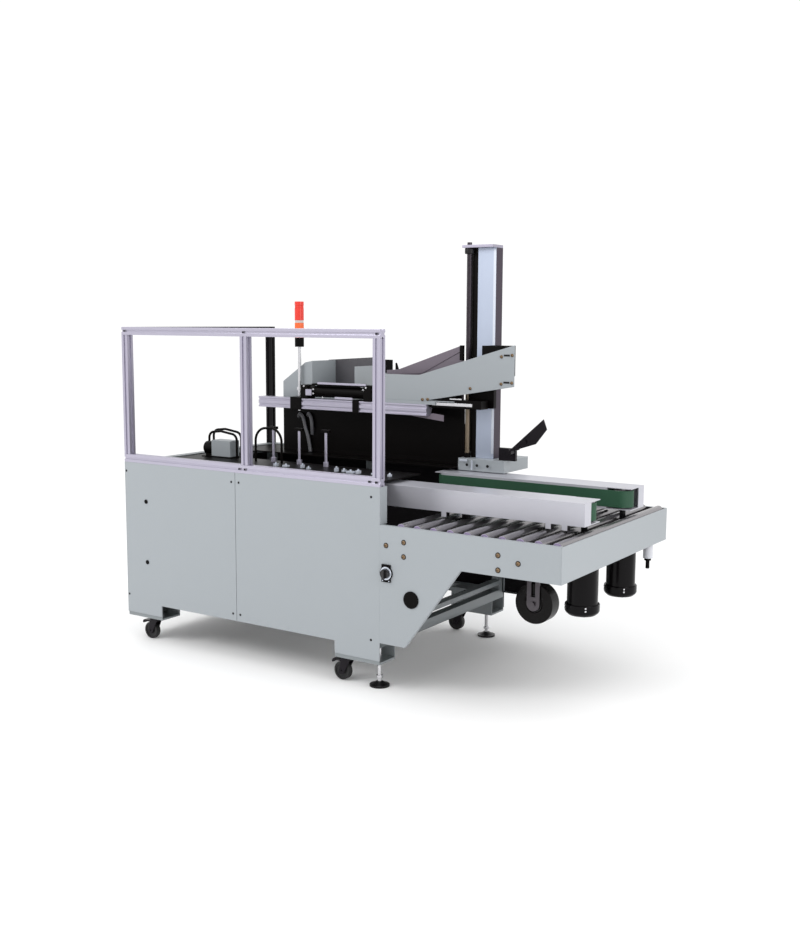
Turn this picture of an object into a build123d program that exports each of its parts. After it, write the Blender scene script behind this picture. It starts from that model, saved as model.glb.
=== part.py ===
"""Carton bottom sealer with side belts, lifting head, tape head and roller outfeed. Millimetres, +Z up.

The origin is on the floor under the middle of the machine. Cartons travel along +X; the near side faces -Y.
"""

import math
import os

from build123d import *

# Overall sizes
CABINET_LENGTH = 1376
CONVEYOR_LENGTH = 760
WIDTH = 1016
CABINET_TOP = 805
GUARD_TOP = 1400
MAST_TOP = 1743

# Sheet, plate and tube stock
SHEET = 2.5
PLATE = 4
TUBE = 40
PROFILE = 35
GROOVE = 9
GROOVE_DEPTH = 5

# Clearances
SHAFT_CLEARANCE = 0.05
GAP = 0.3

# Cabinet skirt
SKIRT_BOTTOM = 175
SKIRT_DROP = 50
LEFT_FOOT_LENGTH = 210
RIGHT_FOOT_LENGTH = 216
SEAM_FROM_LEFT = 649
SEAM_GAP = 2
RETURN_FLANGE = 50

# Running gear
WHEEL_R = 37.5
WHEEL_WIDTH = 25
CASTER_HEIGHT = 109
CASTER_PLATE = 5
CASTER_TRAIL = 26
CASTER_INSET = 60
CASTER_AXLE_R = 4
KINGPIN_R = 6
REAR_CASTER_LIFT = 2
CASTER_FROM_LEFT = 115
CASTER_FROM_RIGHT = 190
LEVEL_FOOT_R = 40
LEVEL_STEM_R = 8
LEVEL_FOOT_INSET = 75
LEVEL_FOOT_FROM_RIGHT = 50
LEG_PLATE = 8
LEG_WIDTH = 110
CASTER_PLATE_HALF = (45, 32)
FORK_HEAD_R = 24
FORK_HEAD = 9
FORK_LEFT = 22
FORK_RIGHT = 20
FORK_CHEEK = 3
FORK_CHEEK_GAP = 2
FORK_AXLE_HALF = 13
PEDAL_LENGTH = 74
PEDAL_THICKNESS = 10
FOOT_DISC = 8
FOOT_DOME = 12
FOOT_NUT_R = 13
FOOT_NUT = 10
FOOT_NUT_HEIGHT = 34

# Conveyor
TABLE_TOP = 661
SIDE_DEPTH = 134
WEDGE_LOW = 199
WEDGE_LOW_LENGTH = 115
WEDGE_TOP_LENGTH = 355
SIDE_FLANGE = 18
ROLLER_R = 20
ROLLER_STANDS_PROUD = 10
ROLLER_PITCH = 72
FIRST_ROLLER = 83
LAST_ROLLER_MARGIN = 26
ROLLER_AXLE_R = 6
ROLLER_END_GAP = 3.5
CROSS_SHAFT_R = 10
CROSS_SHAFT_DROP = 51
CROSS_SHAFT_GAPS = (1, 6)
PAN_END_GAP = 10

# Side-belt drives
CARTON_WIDTH = 280
BELT_THICKNESS = 5
BELT_WIDTH = 67
PULLEY_R = 38
PULLEY_SHAFT_R = 8
DRIVE_HEIGHT = 87
DRIVE_RISE = 24
DRIVE_DEPTH = 146
DRIVE_LAP = 158
DRIVE_END_MARGIN = 18
BELT_INSET = 10
IDLER_FROM_END = 50
MOTOR_R = 61
MOTOR_CAP_R = 65
MOTOR_BOTTOM = 348
MOTOR_TOP = 520
GEARBOX_R = 48
GEARBOX_TOP = 600
NECK_R = 12
SLIDER = 44
SLIDER_LENGTH = 60
POST = 16
POST_LENGTH = 40
COVER_END = 56
GLIDE = 24
GLIDE_DROP = 20

# Tape head
HEAD_PLATE_OFFSET = 45
HEAD_PLATE = 6
HEAD_PLATE_BOTTOM = 470
SHAFT_EDGE = 14
TAPE_ROLL_R = 82
TAPE_CORE_R = 38
TAPE_WIDTH = 65
TAPE_AXLE_R = 10
TAPE_DROP = 337
ROLL_ARM_WIDTH = 56
ROLL_ARM = 5
SEAL_ROLLER_R = 17
SEAL_PIVOT_R = 8
SEAL_PIVOT_DROP = 116
SEAL_ROLLER_RISE = 22
SEAL_ARM = 6
SEAL_LEAN = 70
SEAL_CHEEK = 24
SEAL_BOSS_R = 14
SEAL_TIP_R = 12

# Mast and head
MAST_FROM_CABINET_END = -38
MAST_WIDTH = 88
MAST_DEPTH = 60
MAST_FACE = 292
MAST_WALL = 6
FOOT_BEAM_BOTTOM = 785
FOOT_BEAM_HEIGHT = 53
FOOT_BEAM_LEFT = 60
FOOT_BEAM_RIGHT = 80
FOOT_BEAM_FACE = 50
RAIL_WIDTH = 24
RAIL_DEPTH = 38
SCREW_R = 12
SCREW_FROM_RAIL = 13
SCREW_BEHIND_FACE = 10
TOP_PLATE = 12
TOP_PLATE_MARGIN = 24
BEARING_HEIGHT = 20
BEARING_R = 15
CARRIAGE_BOTTOM = 1058
CARRIAGE_TOP = 1255
CARRIAGE_PLATE = 22
CARRIAGE_LAP = 10
ARM_BLOCK_REACH = 150
ARM_BLOCK_TOP = 1329
ARM_BLOCK_WALL = 10
NUT_BOTTOM = 1180
NUT_HEIGHT = 56
BOOM_FACE = 192
BOOM_PLATE = 4
BOOM_BACK = 282
BOOM_RIGHT_REACH = 197
BOOM_LEFT_REACH = 500
BOOM_BEND = 272
BOOM_BEND_SHIFT = 14
BOOM_BACK_BEND = 437
BOOM_BACK_TOP = 1320
BOOM_LEFT_TOP = 1196
BOOM_LEFT_BOTTOM = 1082
BOOM_RIGHT_TOP = 1333
BOOM_RIGHT_BOTTOM = 1160
BEAM_SIZE = 50
BEAM_BOTTOM = 1018
BEAM_PROUD = 10
BEAM_LEFT_REACH = 1184
BEAM_RIGHT_REACH = 228
UNIT_LENGTH = 400
UNIT_FROM_BOOM = 21
UNIT_R = 26
UNIT_BLOCK = 30
UNIT_RISE = 8
UNIT_BAND = 22
CLAMP_WALL = 5
CLAMP_WIDE = 64
CLAMP_NARROW = 34
CLAMP_FROM_RIGHT = 102

# Magazine, hood and tower
MAGAZINE_FACE = 296
MAGAZINE_PLATE = 6
MAGAZINE_TOP = 1062
MAGAZINE_MARGIN_LEFT = 254
HOOD_LENGTH = 430
HOOD_WING_TOP = 1138
HOOD_CORNER_TOP = 1232
HOOD_TOP = 1240
HOOD_TOP_RIGHT = 1259
HOOD_CHAMFER = 137
HOOD_STRIP = 42
HOOD_DEPTH = 190
TOWER_FROM_LEFT = 370
TOWER_Y = 278
TOWER_POLE_R = 8
TOWER_BOTTOM = 1000
TOWER_BASE_BOTTOM = 1306
TOWER_BASE_TOP = 1350
TOWER_R = 22
LENS_HEIGHTS = (70, 12, 58, 12, 19)
POLE_CLIP = 28
POLE_CLIP_HEIGHT = 16

# Deck and what stands on it
DECK_TOP = 801
DECK_PLATE = 6
DECK_RIGHT_GAP = 100
DECK_NEAR_EDGE = 60
DECK_FAR_EDGE = 200
DECK_LEFT_STRIP = 120
ROD_R = 6
ROD_HEIGHT = 148
ROD_CAP = (44, 16, 12)
ROD_SPACING = 147
FIRST_ROD = 525
ROD_Y = -108

# Pump and hoses on the deck
PUMP_FROM_LEFT = 110
PUMP_Y = -123
PUMP_PLATE = 180
PUMP_MARGIN = 10
PUMP_BOX = (114, 64, 74)
PUMP_MOTOR_R = 30
PUMP_MOTOR = 54
PUMP_MOTOR_RISE = 38
PUMP_SADDLE = (42, 40, 8)
HOSE_R = 5.5
HOSE_BEND = 30
PUMP_HOSE_OFFSETS = (-16, 14)
PUMP_HOSE_RISES = (112, 120)
PUMP_HOSE_SPAN = 169
PUMP_HOSE_CROWN = 73
DECK_HOSE_FROM_LEFT = 440
DECK_HOSE_Y = -131
DECK_HOSE_RISE = 150
DECK_HOSE_SPAN = 150
DECK_HOSE_BEND = 60

# Air filter under the far end of the conveyor
FILTER_FROM_END = 36
FILTER_FROM_SIDE = 109
FILTER_R = 20
FILTER_BOWL = 74
FILTER_COLLAR_R = 14
FILTER_DRAIN_R = 8
FILTER_DRAIN = 34

# Flap plow
PLOW_BARREL_R = 12
PLOW_BARREL = 34
PLOW_PIN_R = 6
PLOW_PIVOT_REACH = 26
PLOW_STANDOFF = 10
PLOW_BLADE = 5
PLOW_OUTLINE = ((-8, 0), (160, 150), (176, 108), (126, 44), (10, 6))
PLOW_KNOBS = ((45, 23), (75, 53))
PLOW_KNOB_R = 9

# Small parts of the near face
BOLT_R = 8
BOLT_HEAD = 5
BOLT_PLACES = ((29, -9), (109, 11), (109, -44), (510, 10), (511, -44), (591, -11))
SCREW_HEAD_R = 5
SCREW_HEAD = 2
PLUG_R = 9.5
PLUG_FROM_LEFT = 129
PLUG_HEIGHTS = (636, 364)
GROMMET_R = 33
GROMMET_RIGHT = 144
GROMMET_DROP = 138
SWITCH_RIGHT = 32
SWITCH_DROP = 183
SWITCH_PLATE = (40, 68)
SWITCH_PLATE_THICK = 6
SWITCH_STEM_R = 5
KNOB_R = 18
KNOB_HEIGHT = 12
KNOB_BAR = 10

# Derived places
X_LEFT = -(CABINET_LENGTH + CONVEYOR_LENGTH) / 2
X_RIGHT = -X_LEFT
X_CABINET = X_LEFT + CABINET_LENGTH
Y_NEAR = -WIDTH / 2
Y_FAR = WIDTH / 2
X_SEAM = X_LEFT + SEAM_FROM_LEFT
FOOT_BOTTOM = SKIRT_BOTTOM - SKIRT_DROP
FRAME_HALF = WIDTH / 2 - SHEET
FRAME_LEFT = X_LEFT + SHEET
FRAME_RIGHT = X_CABINET - SHEET
SIDE_BOTTOM = TABLE_TOP - SIDE_DEPTH
ROLLER_Z = TABLE_TOP + ROLLER_STANDS_PROUD - ROLLER_R
ROLLER_COUNT = int((CONVEYOR_LENGTH - FIRST_ROLLER - LAST_ROLLER_MARGIN) // ROLLER_PITCH) + 1
ROLLER_X = [X_CABINET + FIRST_ROLLER + ROLLER_PITCH * k for k in range(ROLLER_COUNT)]
SHAFT_X = [ROLLER_X[0] + ROLLER_PITCH * (gap + 0.5) for gap in CROSS_SHAFT_GAPS]
SHAFT_Z = ROLLER_Z - CROSS_SHAFT_DROP
HEAD_LEFT = SHAFT_X[0] - SHAFT_EDGE
HEAD_RIGHT = SHAFT_X[1] + SHAFT_EDGE
HEAD_MIDDLE = (HEAD_LEFT + HEAD_RIGHT) / 2 + POST * 3
TAPE_Z = ROLLER_Z - TAPE_DROP
DRIVE_BOTTOM = ROLLER_Z + ROLLER_R + DRIVE_RISE
DRIVE_TOP = DRIVE_BOTTOM + DRIVE_HEIGHT
DRIVE_LEFT = X_CABINET - DRIVE_LAP
DRIVE_RIGHT = X_RIGHT - DRIVE_END_MARGIN
MOTOR_X = ROLLER_X[-1] - ROLLER_PITCH / 2
BELT_R = PULLEY_R + BELT_THICKNESS
PULLEY_Y = CARTON_WIDTH / 2 + BELT_R
MAST_X = X_CABINET + MAST_FROM_CABINET_END + MAST_WIDTH / 2
MAST_LEFT = MAST_X - MAST_WIDTH / 2
MAST_RIGHT = MAST_X + MAST_WIDTH / 2
FOOT_BEAM_TOP = FOOT_BEAM_BOTTOM + FOOT_BEAM_HEIGHT
SCREW_X = MAST_LEFT - RAIL_WIDTH - SCREW_FROM_RAIL
SCREW_Y = MAST_FACE - SCREW_BEHIND_FACE
CARRIAGE_FACE = MAST_FACE - GAP - CARRIAGE_PLATE
DECK_RIGHT = X_CABINET - DECK_RIGHT_GAP


def span(x0, x1, y0, y1, z0, z1):
    """A box between two corners."""
    return Pos((x0 + x1) / 2, (y0 + y1) / 2, (z0 + z1) / 2) * Box(x1 - x0, y1 - y0, z1 - z0)


def rod(start, direction, radius, length):
    """A round bar from its start point along a direction."""
    upwards = (Align.CENTER, Align.CENTER, Align.MIN)
    return Plane(origin=start, z_dir=direction) * Cylinder(radius, length, align=upwards)


def along_x(x, y, z, radius, length):
    return rod((x, y, z), (1, 0, 0), radius, length)


def along_y(x, y, z, radius, length):
    return rod((x, y, z), (0, 1, 0), radius, length)


def along_z(x, y, z, radius, length):
    return rod((x, y, z), (0, 0, 1), radius, length)


def plate_xz(points, y0, y1):
    """A flat plate with its outline in X and Z, between two Y planes."""
    outline = make_face(Polyline(*points, close=True))
    return extrude(Plane(origin=(0, y0, 0), x_dir=(1, 0, 0), z_dir=(0, -1, 0)) * outline, amount=y0 - y1)


def slotted(size):
    """Square aluminium profile section with one groove in each side."""
    reach = size / 2 - GROOVE_DEPTH / 2
    section = Rectangle(size, size)
    for x, y, wide, high in ((reach, 0, GROOVE_DEPTH, GROOVE), (0, reach, GROOVE, GROOVE_DEPTH)):
        section -= Pos(x, y) * Rectangle(wide, high)
        section -= Pos(-x, -y) * Rectangle(wide, high)
    return section


def profile_bar(start, direction, length, section):
    """A straight length of extruded profile whose centre line begins at start."""
    across = (1, 0, 0) if direction != (1, 0, 0) else (0, 1, 0)
    return extrude(Plane(origin=start, x_dir=across, z_dir=direction) * section, amount=length)


def mirrored(shape):
    """The same piece on the far side of the carton path."""
    return mirror(shape, about=Plane.XZ)


def save(name, *shapes):
    solids = [solid for shape in shapes for solid in shape.solids()]
    export_step(Compound(children=solids), f"parts/{name}.step")


# ---- cabinet ----

def caster_places():
    """Kingpin X and side of each caster, with how far it is lifted off the floor."""
    left = X_LEFT + CASTER_FROM_LEFT
    right = X_CABINET - CASTER_FROM_RIGHT
    y = WIDTH / 2 - CASTER_INSET
    return {
        "left_near": (left, -y, 0),
        "left_far": (left, y, 0),
        "right_near": (right, -y, REAR_CASTER_LIFT),
        "right_far": (right, y, REAR_CASTER_LIFT),
    }


def leg_channel(x0, x1):
    """Downward box leg that carries a caster, and at the right a levelling foot."""
    y0 = -FRAME_HALF
    leg = span(x0, x1, y0, y0 + LEG_WIDTH, CASTER_HEIGHT, CASTER_HEIGHT + LEG_PLATE)
    leg += span(x0, x1, y0, y0 + PLATE, CASTER_HEIGHT, SKIRT_BOTTOM + TUBE)
    leg += span(x0, x1, y0 + LEG_WIDTH - PLATE, y0 + LEG_WIDTH, CASTER_HEIGHT, SKIRT_BOTTOM + TUBE)
    leg += span(x0, x1, y0, y0 + LEG_WIDTH, SKIRT_BOTTOM + TUBE - PLATE, SKIRT_BOTTOM + TUBE)
    return leg


def base_frame():
    half = FRAME_HALF
    columns = [FRAME_LEFT, X_SEAM - TUBE / 2, FRAME_RIGHT - TUBE]
    frame = span(FRAME_LEFT, FRAME_RIGHT, -half, TUBE - half, SKIRT_BOTTOM, SKIRT_BOTTOM + TUBE)
    frame += span(FRAME_LEFT, FRAME_RIGHT, -half, TUBE - half, CABINET_TOP - TUBE, CABINET_TOP)
    for x in columns:
        frame += span(x, x + TUBE, -half, TUBE - half, SKIRT_BOTTOM, CABINET_TOP)
    frame += mirrored(frame)
    for x in columns:
        frame += span(x, x + TUBE, -half, half, SKIRT_BOTTOM, SKIRT_BOTTOM + TUBE)
    frame += span(FRAME_LEFT, FRAME_LEFT + TUBE, -half, half, CABINET_TOP - TUBE, CABINET_TOP)
    brace_z = WEDGE_LOW + TUBE
    frame += span(FRAME_RIGHT - TUBE, FRAME_RIGHT, -half, half, brace_z, brace_z + TUBE / 2)
    under = legs(frame)
    for y in foot_places():
        frame -= along_z(level_foot_x(), y, SKIRT_BOTTOM, LEVEL_STEM_R * 2, TUBE)
    return [frame] + under


def legs(frame):
    """Four folded channels welded round the frame's tubes, with caster plates and holes for what they carry."""
    made = []
    for place, (x, y, lift) in caster_places().items():
        if place.startswith("left"):
            leg = leg_channel(FRAME_LEFT, X_LEFT + LEFT_FOOT_LENGTH)
        else:
            leg = leg_channel(X_CABINET - RIGHT_FOOT_LENGTH, FRAME_RIGHT)
            leg -= along_z(level_foot_x(), min(foot_places()), CASTER_HEIGHT, LEVEL_STEM_R + SHAFT_CLEARANCE, LEG_PLATE)
        leg -= frame
        dx, dy = CASTER_PLATE_HALF
        low = CASTER_HEIGHT - CASTER_PLATE
        leg += span(x - dx, x + dx, -abs(y) - dy, dy - abs(y), low + lift, CASTER_HEIGHT)
        leg -= along_z(x, -abs(y), low, KINGPIN_R + SHAFT_CLEARANCE, CASTER_PLATE + LEG_PLATE)
        made.append(leg if y < 0 else mirrored(leg))
    return made


def level_foot_x():
    return X_CABINET - LEVEL_FOOT_FROM_RIGHT


def foot_places():
    y = WIDTH / 2 - LEVEL_FOOT_INSET
    return (-y, y)


def skirt_outline(x0, x1, foot0, foot1):
    """Panel outline with a deeper stretch between foot0 and foot1."""
    low = [(foot0, FOOT_BOTTOM), (foot1, FOOT_BOTTOM)]
    before = [(x0, SKIRT_BOTTOM), (foot0, SKIRT_BOTTOM)] if foot0 > x0 else []
    after = [(foot1, SKIRT_BOTTOM), (x1, SKIRT_BOTTOM)] if foot1 < x1 else []
    return before + low + after + [(x1, CABINET_TOP), (x0, CABINET_TOP)]


def near_left_panel():
    x1 = X_SEAM - SEAM_GAP / 2
    outline = skirt_outline(X_LEFT + SHEET, x1, X_LEFT + SHEET, X_LEFT + LEFT_FOOT_LENGTH)
    return plate_xz(outline, Y_NEAR, Y_NEAR + SHEET)


def near_right_panel():
    x0 = X_SEAM + SEAM_GAP / 2
    outline = skirt_outline(x0, X_CABINET, X_CABINET - RIGHT_FOOT_LENGTH, X_CABINET)
    panel = plate_xz(outline, Y_NEAR, Y_NEAR + SHEET)
    edge = X_CABINET - SHEET
    return panel + span(edge, X_CABINET, Y_NEAR, Y_NEAR + RETURN_FLANGE, TABLE_TOP, CABINET_TOP)


def far_panel():
    foot1 = X_LEFT + LEFT_FOOT_LENGTH
    foot2 = X_CABINET - RIGHT_FOOT_LENGTH
    x0 = X_LEFT + SHEET
    outline = [(x0, FOOT_BOTTOM), (foot1, FOOT_BOTTOM), (foot1, SKIRT_BOTTOM), (foot2, SKIRT_BOTTOM)]
    outline += [(foot2, FOOT_BOTTOM), (X_CABINET, FOOT_BOTTOM), (X_CABINET, CABINET_TOP), (x0, CABINET_TOP)]
    return plate_xz(outline, Y_FAR - SHEET, Y_FAR)


def left_end_panel():
    return span(X_LEFT, X_LEFT + SHEET, Y_NEAR, Y_FAR, FOOT_BOTTOM, CABINET_TOP)


def deck_plates():
    """Black deck over the cabinet, open where the cartons come down, and the pan under the rollers."""
    inner = FRAME_HALF - TUBE
    left = FRAME_LEFT + TUBE
    bottom = DECK_TOP - DECK_PLATE
    deck = span(left, DECK_RIGHT, -inner, -DECK_NEAR_EDGE, bottom, DECK_TOP)
    deck += span(left, DECK_RIGHT, DECK_FAR_EDGE, inner, bottom, DECK_TOP)
    deck += span(left, left + DECK_LEFT_STRIP, -inner, inner, bottom, DECK_TOP)
    pan_right = MOTOR_X - GEARBOX_R - PAN_END_GAP
    seat = SIDE_BOTTOM + PLATE
    pan = span(X_CABINET + PLATE, pan_right, Y_NEAR + PLATE, -HEAD_PLATE_OFFSET - PLATE, seat, seat + SHEET)
    return [deck, pan, mirrored(pan)]


# ---- guards ----

def post_lefts():
    middle = X_SEAM + PROFILE
    return (X_LEFT, middle, X_CABINET - PROFILE)


def guard_frame():
    section = slotted(PROFILE)
    half = PROFILE / 2
    y = Y_NEAR + half
    low = CABINET_TOP
    high = GUARD_TOP - PROFILE
    rails = [profile_bar((X_LEFT, y, z + half), (1, 0, 0), CABINET_LENGTH, section) for z in (low, high)]
    reach = high - low - PROFILE
    posts = [profile_bar((x + half, y, low + PROFILE), (0, 0, 1), reach, section) for x in post_lefts()]
    return rails + posts


def end_guard():
    section = slotted(PROFILE)
    half = PROFILE / 2
    y_post = FRAME_HALF - TUBE + half
    x = X_LEFT + half
    rail = profile_bar((x, Y_NEAR + PROFILE, GUARD_TOP - half), (0, 1, 0), y_post - half - Y_NEAR - PROFILE, section)
    post = profile_bar((x, y_post, CABINET_TOP), (0, 0, 1), GUARD_TOP - CABINET_TOP, section)
    return [rail, post]


# ---- conveyor ----

def side_plate():
    """Near side plate: a tray-shaped plate with a wedge under its cabinet end and an inner roller strip."""
    x0 = X_CABINET
    x1 = X_RIGHT - PLATE
    low_end = x0 + WEDGE_LOW_LENGTH
    top_end = x0 + WEDGE_TOP_LENGTH
    outline = [(x0, WEDGE_LOW), (low_end, WEDGE_LOW), (top_end, SIDE_BOTTOM), (x1, SIDE_BOTTOM)]
    outline += [(x1, TABLE_TOP), (x0, TABLE_TOP)]
    face = make_face(Polyline(*outline, close=True))
    plane = Plane(origin=(0, Y_NEAR, 0), x_dir=(1, 0, 0), z_dir=(0, -1, 0))
    inner = Plane(origin=(0, Y_NEAR + PLATE, 0), x_dir=(1, 0, 0), z_dir=(0, -1, 0))
    tray = extrude(plane * face, amount=-SIDE_FLANGE)
    tray -= extrude(inner * offset(face, -PLATE), amount=PLATE - SIDE_FLANGE)
    lip = Y_NEAR + SIDE_FLANGE - PLATE
    tray += span(x0, x1, lip, lip + PLATE, ROLLER_Z - ROLLER_R, TABLE_TOP)
    for x in ROLLER_X:
        tray -= along_y(x, Y_NEAR + PLATE, ROLLER_Z, ROLLER_AXLE_R + SHAFT_CLEARANCE, SIDE_FLANGE - PLATE)
    return tray


def end_plate():
    return span(X_RIGHT - PLATE, X_RIGHT, Y_NEAR, Y_FAR, SIDE_BOTTOM, TABLE_TOP)


def roller_is_split(x):
    return HEAD_LEFT - ROLLER_R < x < HEAD_RIGHT + ROLLER_R


def roller(x):
    """One conveyor roller; where the tape head stands between its halves it is in two lengths on one axis."""
    outer = WIDTH / 2 - SIDE_FLANGE - ROLLER_END_GAP
    axle = ROLLER_END_GAP + SIDE_FLANGE - PLATE - GAP
    if not roller_is_split(x):
        bar = along_y(x, -outer, ROLLER_Z, ROLLER_R, 2 * outer)
        return [bar + along_y(x, -outer - axle, ROLLER_Z, ROLLER_AXLE_R, 2 * (outer + axle))]
    inner = HEAD_PLATE_OFFSET + ROLLER_END_GAP
    stub = ROLLER_END_GAP + HEAD_PLATE - GAP
    half = along_y(x, -outer, ROLLER_Z, ROLLER_R, outer - inner)
    half += along_y(x, -outer - axle, ROLLER_Z, ROLLER_AXLE_R, outer + axle - inner + stub)
    return [half, mirrored(half)]


# ---- side-belt drives ----

def drive_housing():
    """Near drive: open cover, belt bed, fixed idler nose, posts and slider blocks on the cross shafts."""
    outer = -CARTON_WIDTH / 2 - DRIVE_DEPTH
    inner = -CARTON_WIDTH / 2 - BELT_INSET
    bed_face = -CARTON_WIDTH / 2 - BELT_THICKNESS - GAP
    sheet = SHEET + 1
    low, high = DRIVE_BOTTOM, DRIVE_TOP
    idler_x = DRIVE_LEFT + IDLER_FROM_END
    body = span(DRIVE_LEFT, DRIVE_RIGHT, outer, outer + sheet, low, high)
    body += span(DRIVE_LEFT, DRIVE_RIGHT, outer, inner, high - sheet, high)
    body += span(DRIVE_LEFT, DRIVE_RIGHT, outer, inner, low, low + sheet)
    for x in (DRIVE_LEFT, DRIVE_RIGHT - sheet):
        body += span(x, x + sheet, outer, outer + COVER_END, low, high)
    bed_right = MOTOR_X - BELT_R - BELT_INSET
    body += span(idler_x, bed_right, bed_face - TUBE / 2, bed_face, low, high)
    body += along_z(idler_x, -PULLEY_Y, low, PULLEY_R - GAP, DRIVE_HEIGHT)
    for x in SHAFT_X:
        post_y = -PULLEY_Y - POST_LENGTH / 2
        top = SHAFT_Z + SLIDER / 2
        body += span(x - POST / 2, x + POST / 2, post_y, post_y + POST_LENGTH, top, low)
        slider_y = -PULLEY_Y - SLIDER_LENGTH / 2
        body += span(x - SLIDER / 2, x + SLIDER / 2, slider_y, slider_y + SLIDER_LENGTH, top - SLIDER, top)
        body -= along_y(x, slider_y, SHAFT_Z, CROSS_SHAFT_R + SHAFT_CLEARANCE, SLIDER_LENGTH)
    for x in glide_places():
        body += span(x - GLIDE / 2, x + GLIDE / 2, outer, outer + GLIDE, low - GLIDE_DROP, low)
    body -= along_z(MOTOR_X, -PULLEY_Y, low, PULLEY_SHAFT_R + SHAFT_CLEARANCE, sheet)
    body -= along_z(MOTOR_X, -PULLEY_Y, high - sheet, PULLEY_SHAFT_R + SHAFT_CLEARANCE, sheet)
    return body


def glide_places():
    """X of the small plastic glides below the cover."""
    return (X_CABINET + 150, ROLLER_X[-3] + 10, MOTOR_X - POST * 2)


def side_belt():
    """Flat belt loop, drawn tight round the pulley and the idler nose."""
    idler_x = DRIVE_LEFT + IDLER_FROM_END
    reach = MOTOR_X - idler_x
    middle = Pos((MOTOR_X + idler_x) / 2, -PULLEY_Y, (DRIVE_BOTTOM + DRIVE_TOP) / 2)
    loop = SlotCenterToCenter(reach, 2 * BELT_R) - SlotCenterToCenter(reach, 2 * PULLEY_R)
    return middle * extrude(loop, amount=BELT_WIDTH / 2, both=True)


def drive_pulley():
    middle = (DRIVE_BOTTOM + DRIVE_TOP) / 2
    drum = along_z(MOTOR_X, -PULLEY_Y, middle - BELT_WIDTH / 2, PULLEY_R - GAP, BELT_WIDTH)
    return drum + along_z(MOTOR_X, -PULLEY_Y, DRIVE_BOTTOM + GAP, PULLEY_SHAFT_R, DRIVE_HEIGHT - 2 * GAP)


def belt_motor():
    motor = along_z(MOTOR_X, -PULLEY_Y, MOTOR_BOTTOM, MOTOR_CAP_R, TUBE)
    motor += along_z(MOTOR_X, -PULLEY_Y, MOTOR_BOTTOM, MOTOR_R, MOTOR_TOP - MOTOR_BOTTOM)
    motor += along_z(MOTOR_X, -PULLEY_Y, MOTOR_TOP, GEARBOX_R, GEARBOX_TOP - MOTOR_TOP)
    return motor + along_z(MOTOR_X, -PULLEY_Y, GEARBOX_TOP, NECK_R, DRIVE_BOTTOM - GEARBOX_TOP)


# ---- bottom tape head ----

def seal_pivots():
    return (HEAD_LEFT + TUBE, HEAD_RIGHT - TUBE)


def tape_head_frame():
    """Two side plates on the cross shafts, their spacers and the hanging arm of the tape roll."""
    inside = HEAD_PLATE_OFFSET - HEAD_PLATE
    top = ROLLER_Z + ROLLER_AXLE_R * 2
    side = span(HEAD_LEFT, HEAD_RIGHT, -HEAD_PLATE_OFFSET, -inside, HEAD_PLATE_BOTTOM, top)
    for x in ROLLER_X:
        if roller_is_split(x):
            side -= along_y(x, -HEAD_PLATE_OFFSET, ROLLER_Z, ROLLER_AXLE_R + SHAFT_CLEARANCE, HEAD_PLATE)
    frame = side + mirrored(side)
    for x in (HEAD_LEFT + TUBE, HEAD_RIGHT - TUBE):
        frame += along_y(x, -inside, HEAD_PLATE_BOTTOM + TUBE / 2, SEAL_PIVOT_R, 2 * inside)
    for x in seal_pivots():
        frame += along_y(x, -inside, ROLLER_Z - SEAL_PIVOT_DROP, SEAL_PIVOT_R, 2 * inside)
    arm_y = -inside
    half = ROLL_ARM_WIDTH / 2
    arm = span(HEAD_MIDDLE - half, HEAD_MIDDLE + half, arm_y, arm_y + ROLL_ARM, TAPE_Z, HEAD_PLATE_BOTTOM + TUBE)
    arm += along_y(HEAD_MIDDLE, arm_y, TAPE_Z, half, ROLL_ARM)
    slot_top = HEAD_PLATE_BOTTOM - ROLL_ARM
    arm -= span(HEAD_MIDDLE - GROOVE, HEAD_MIDDLE + GROOVE, arm_y, arm_y + ROLL_ARM, TAPE_Z + half, slot_top)
    axle = along_y(HEAD_MIDDLE, arm_y - TAPE_AXLE_R, TAPE_Z, TAPE_AXLE_R, inside + TAPE_WIDTH / 2 + 2 * TAPE_AXLE_R)
    frame += arm + axle
    for x in SHAFT_X:
        frame -= along_y(x, -HEAD_PLATE_OFFSET, SHAFT_Z, CROSS_SHAFT_R, 2 * HEAD_PLATE_OFFSET)
    return frame


def tape_roll():
    """Wound tape on its turning hub."""
    y = -TAPE_WIDTH / 2
    core = along_y(HEAD_MIDDLE, y, TAPE_Z, TAPE_CORE_R, TAPE_WIDTH)
    wound = along_y(HEAD_MIDDLE, y, TAPE_Z, TAPE_ROLL_R, TAPE_WIDTH) - core
    hub = core - along_y(HEAD_MIDDLE, y, TAPE_Z, TAPE_AXLE_R + SHAFT_CLEARANCE, TAPE_WIDTH)
    return [wound, hub]


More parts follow.
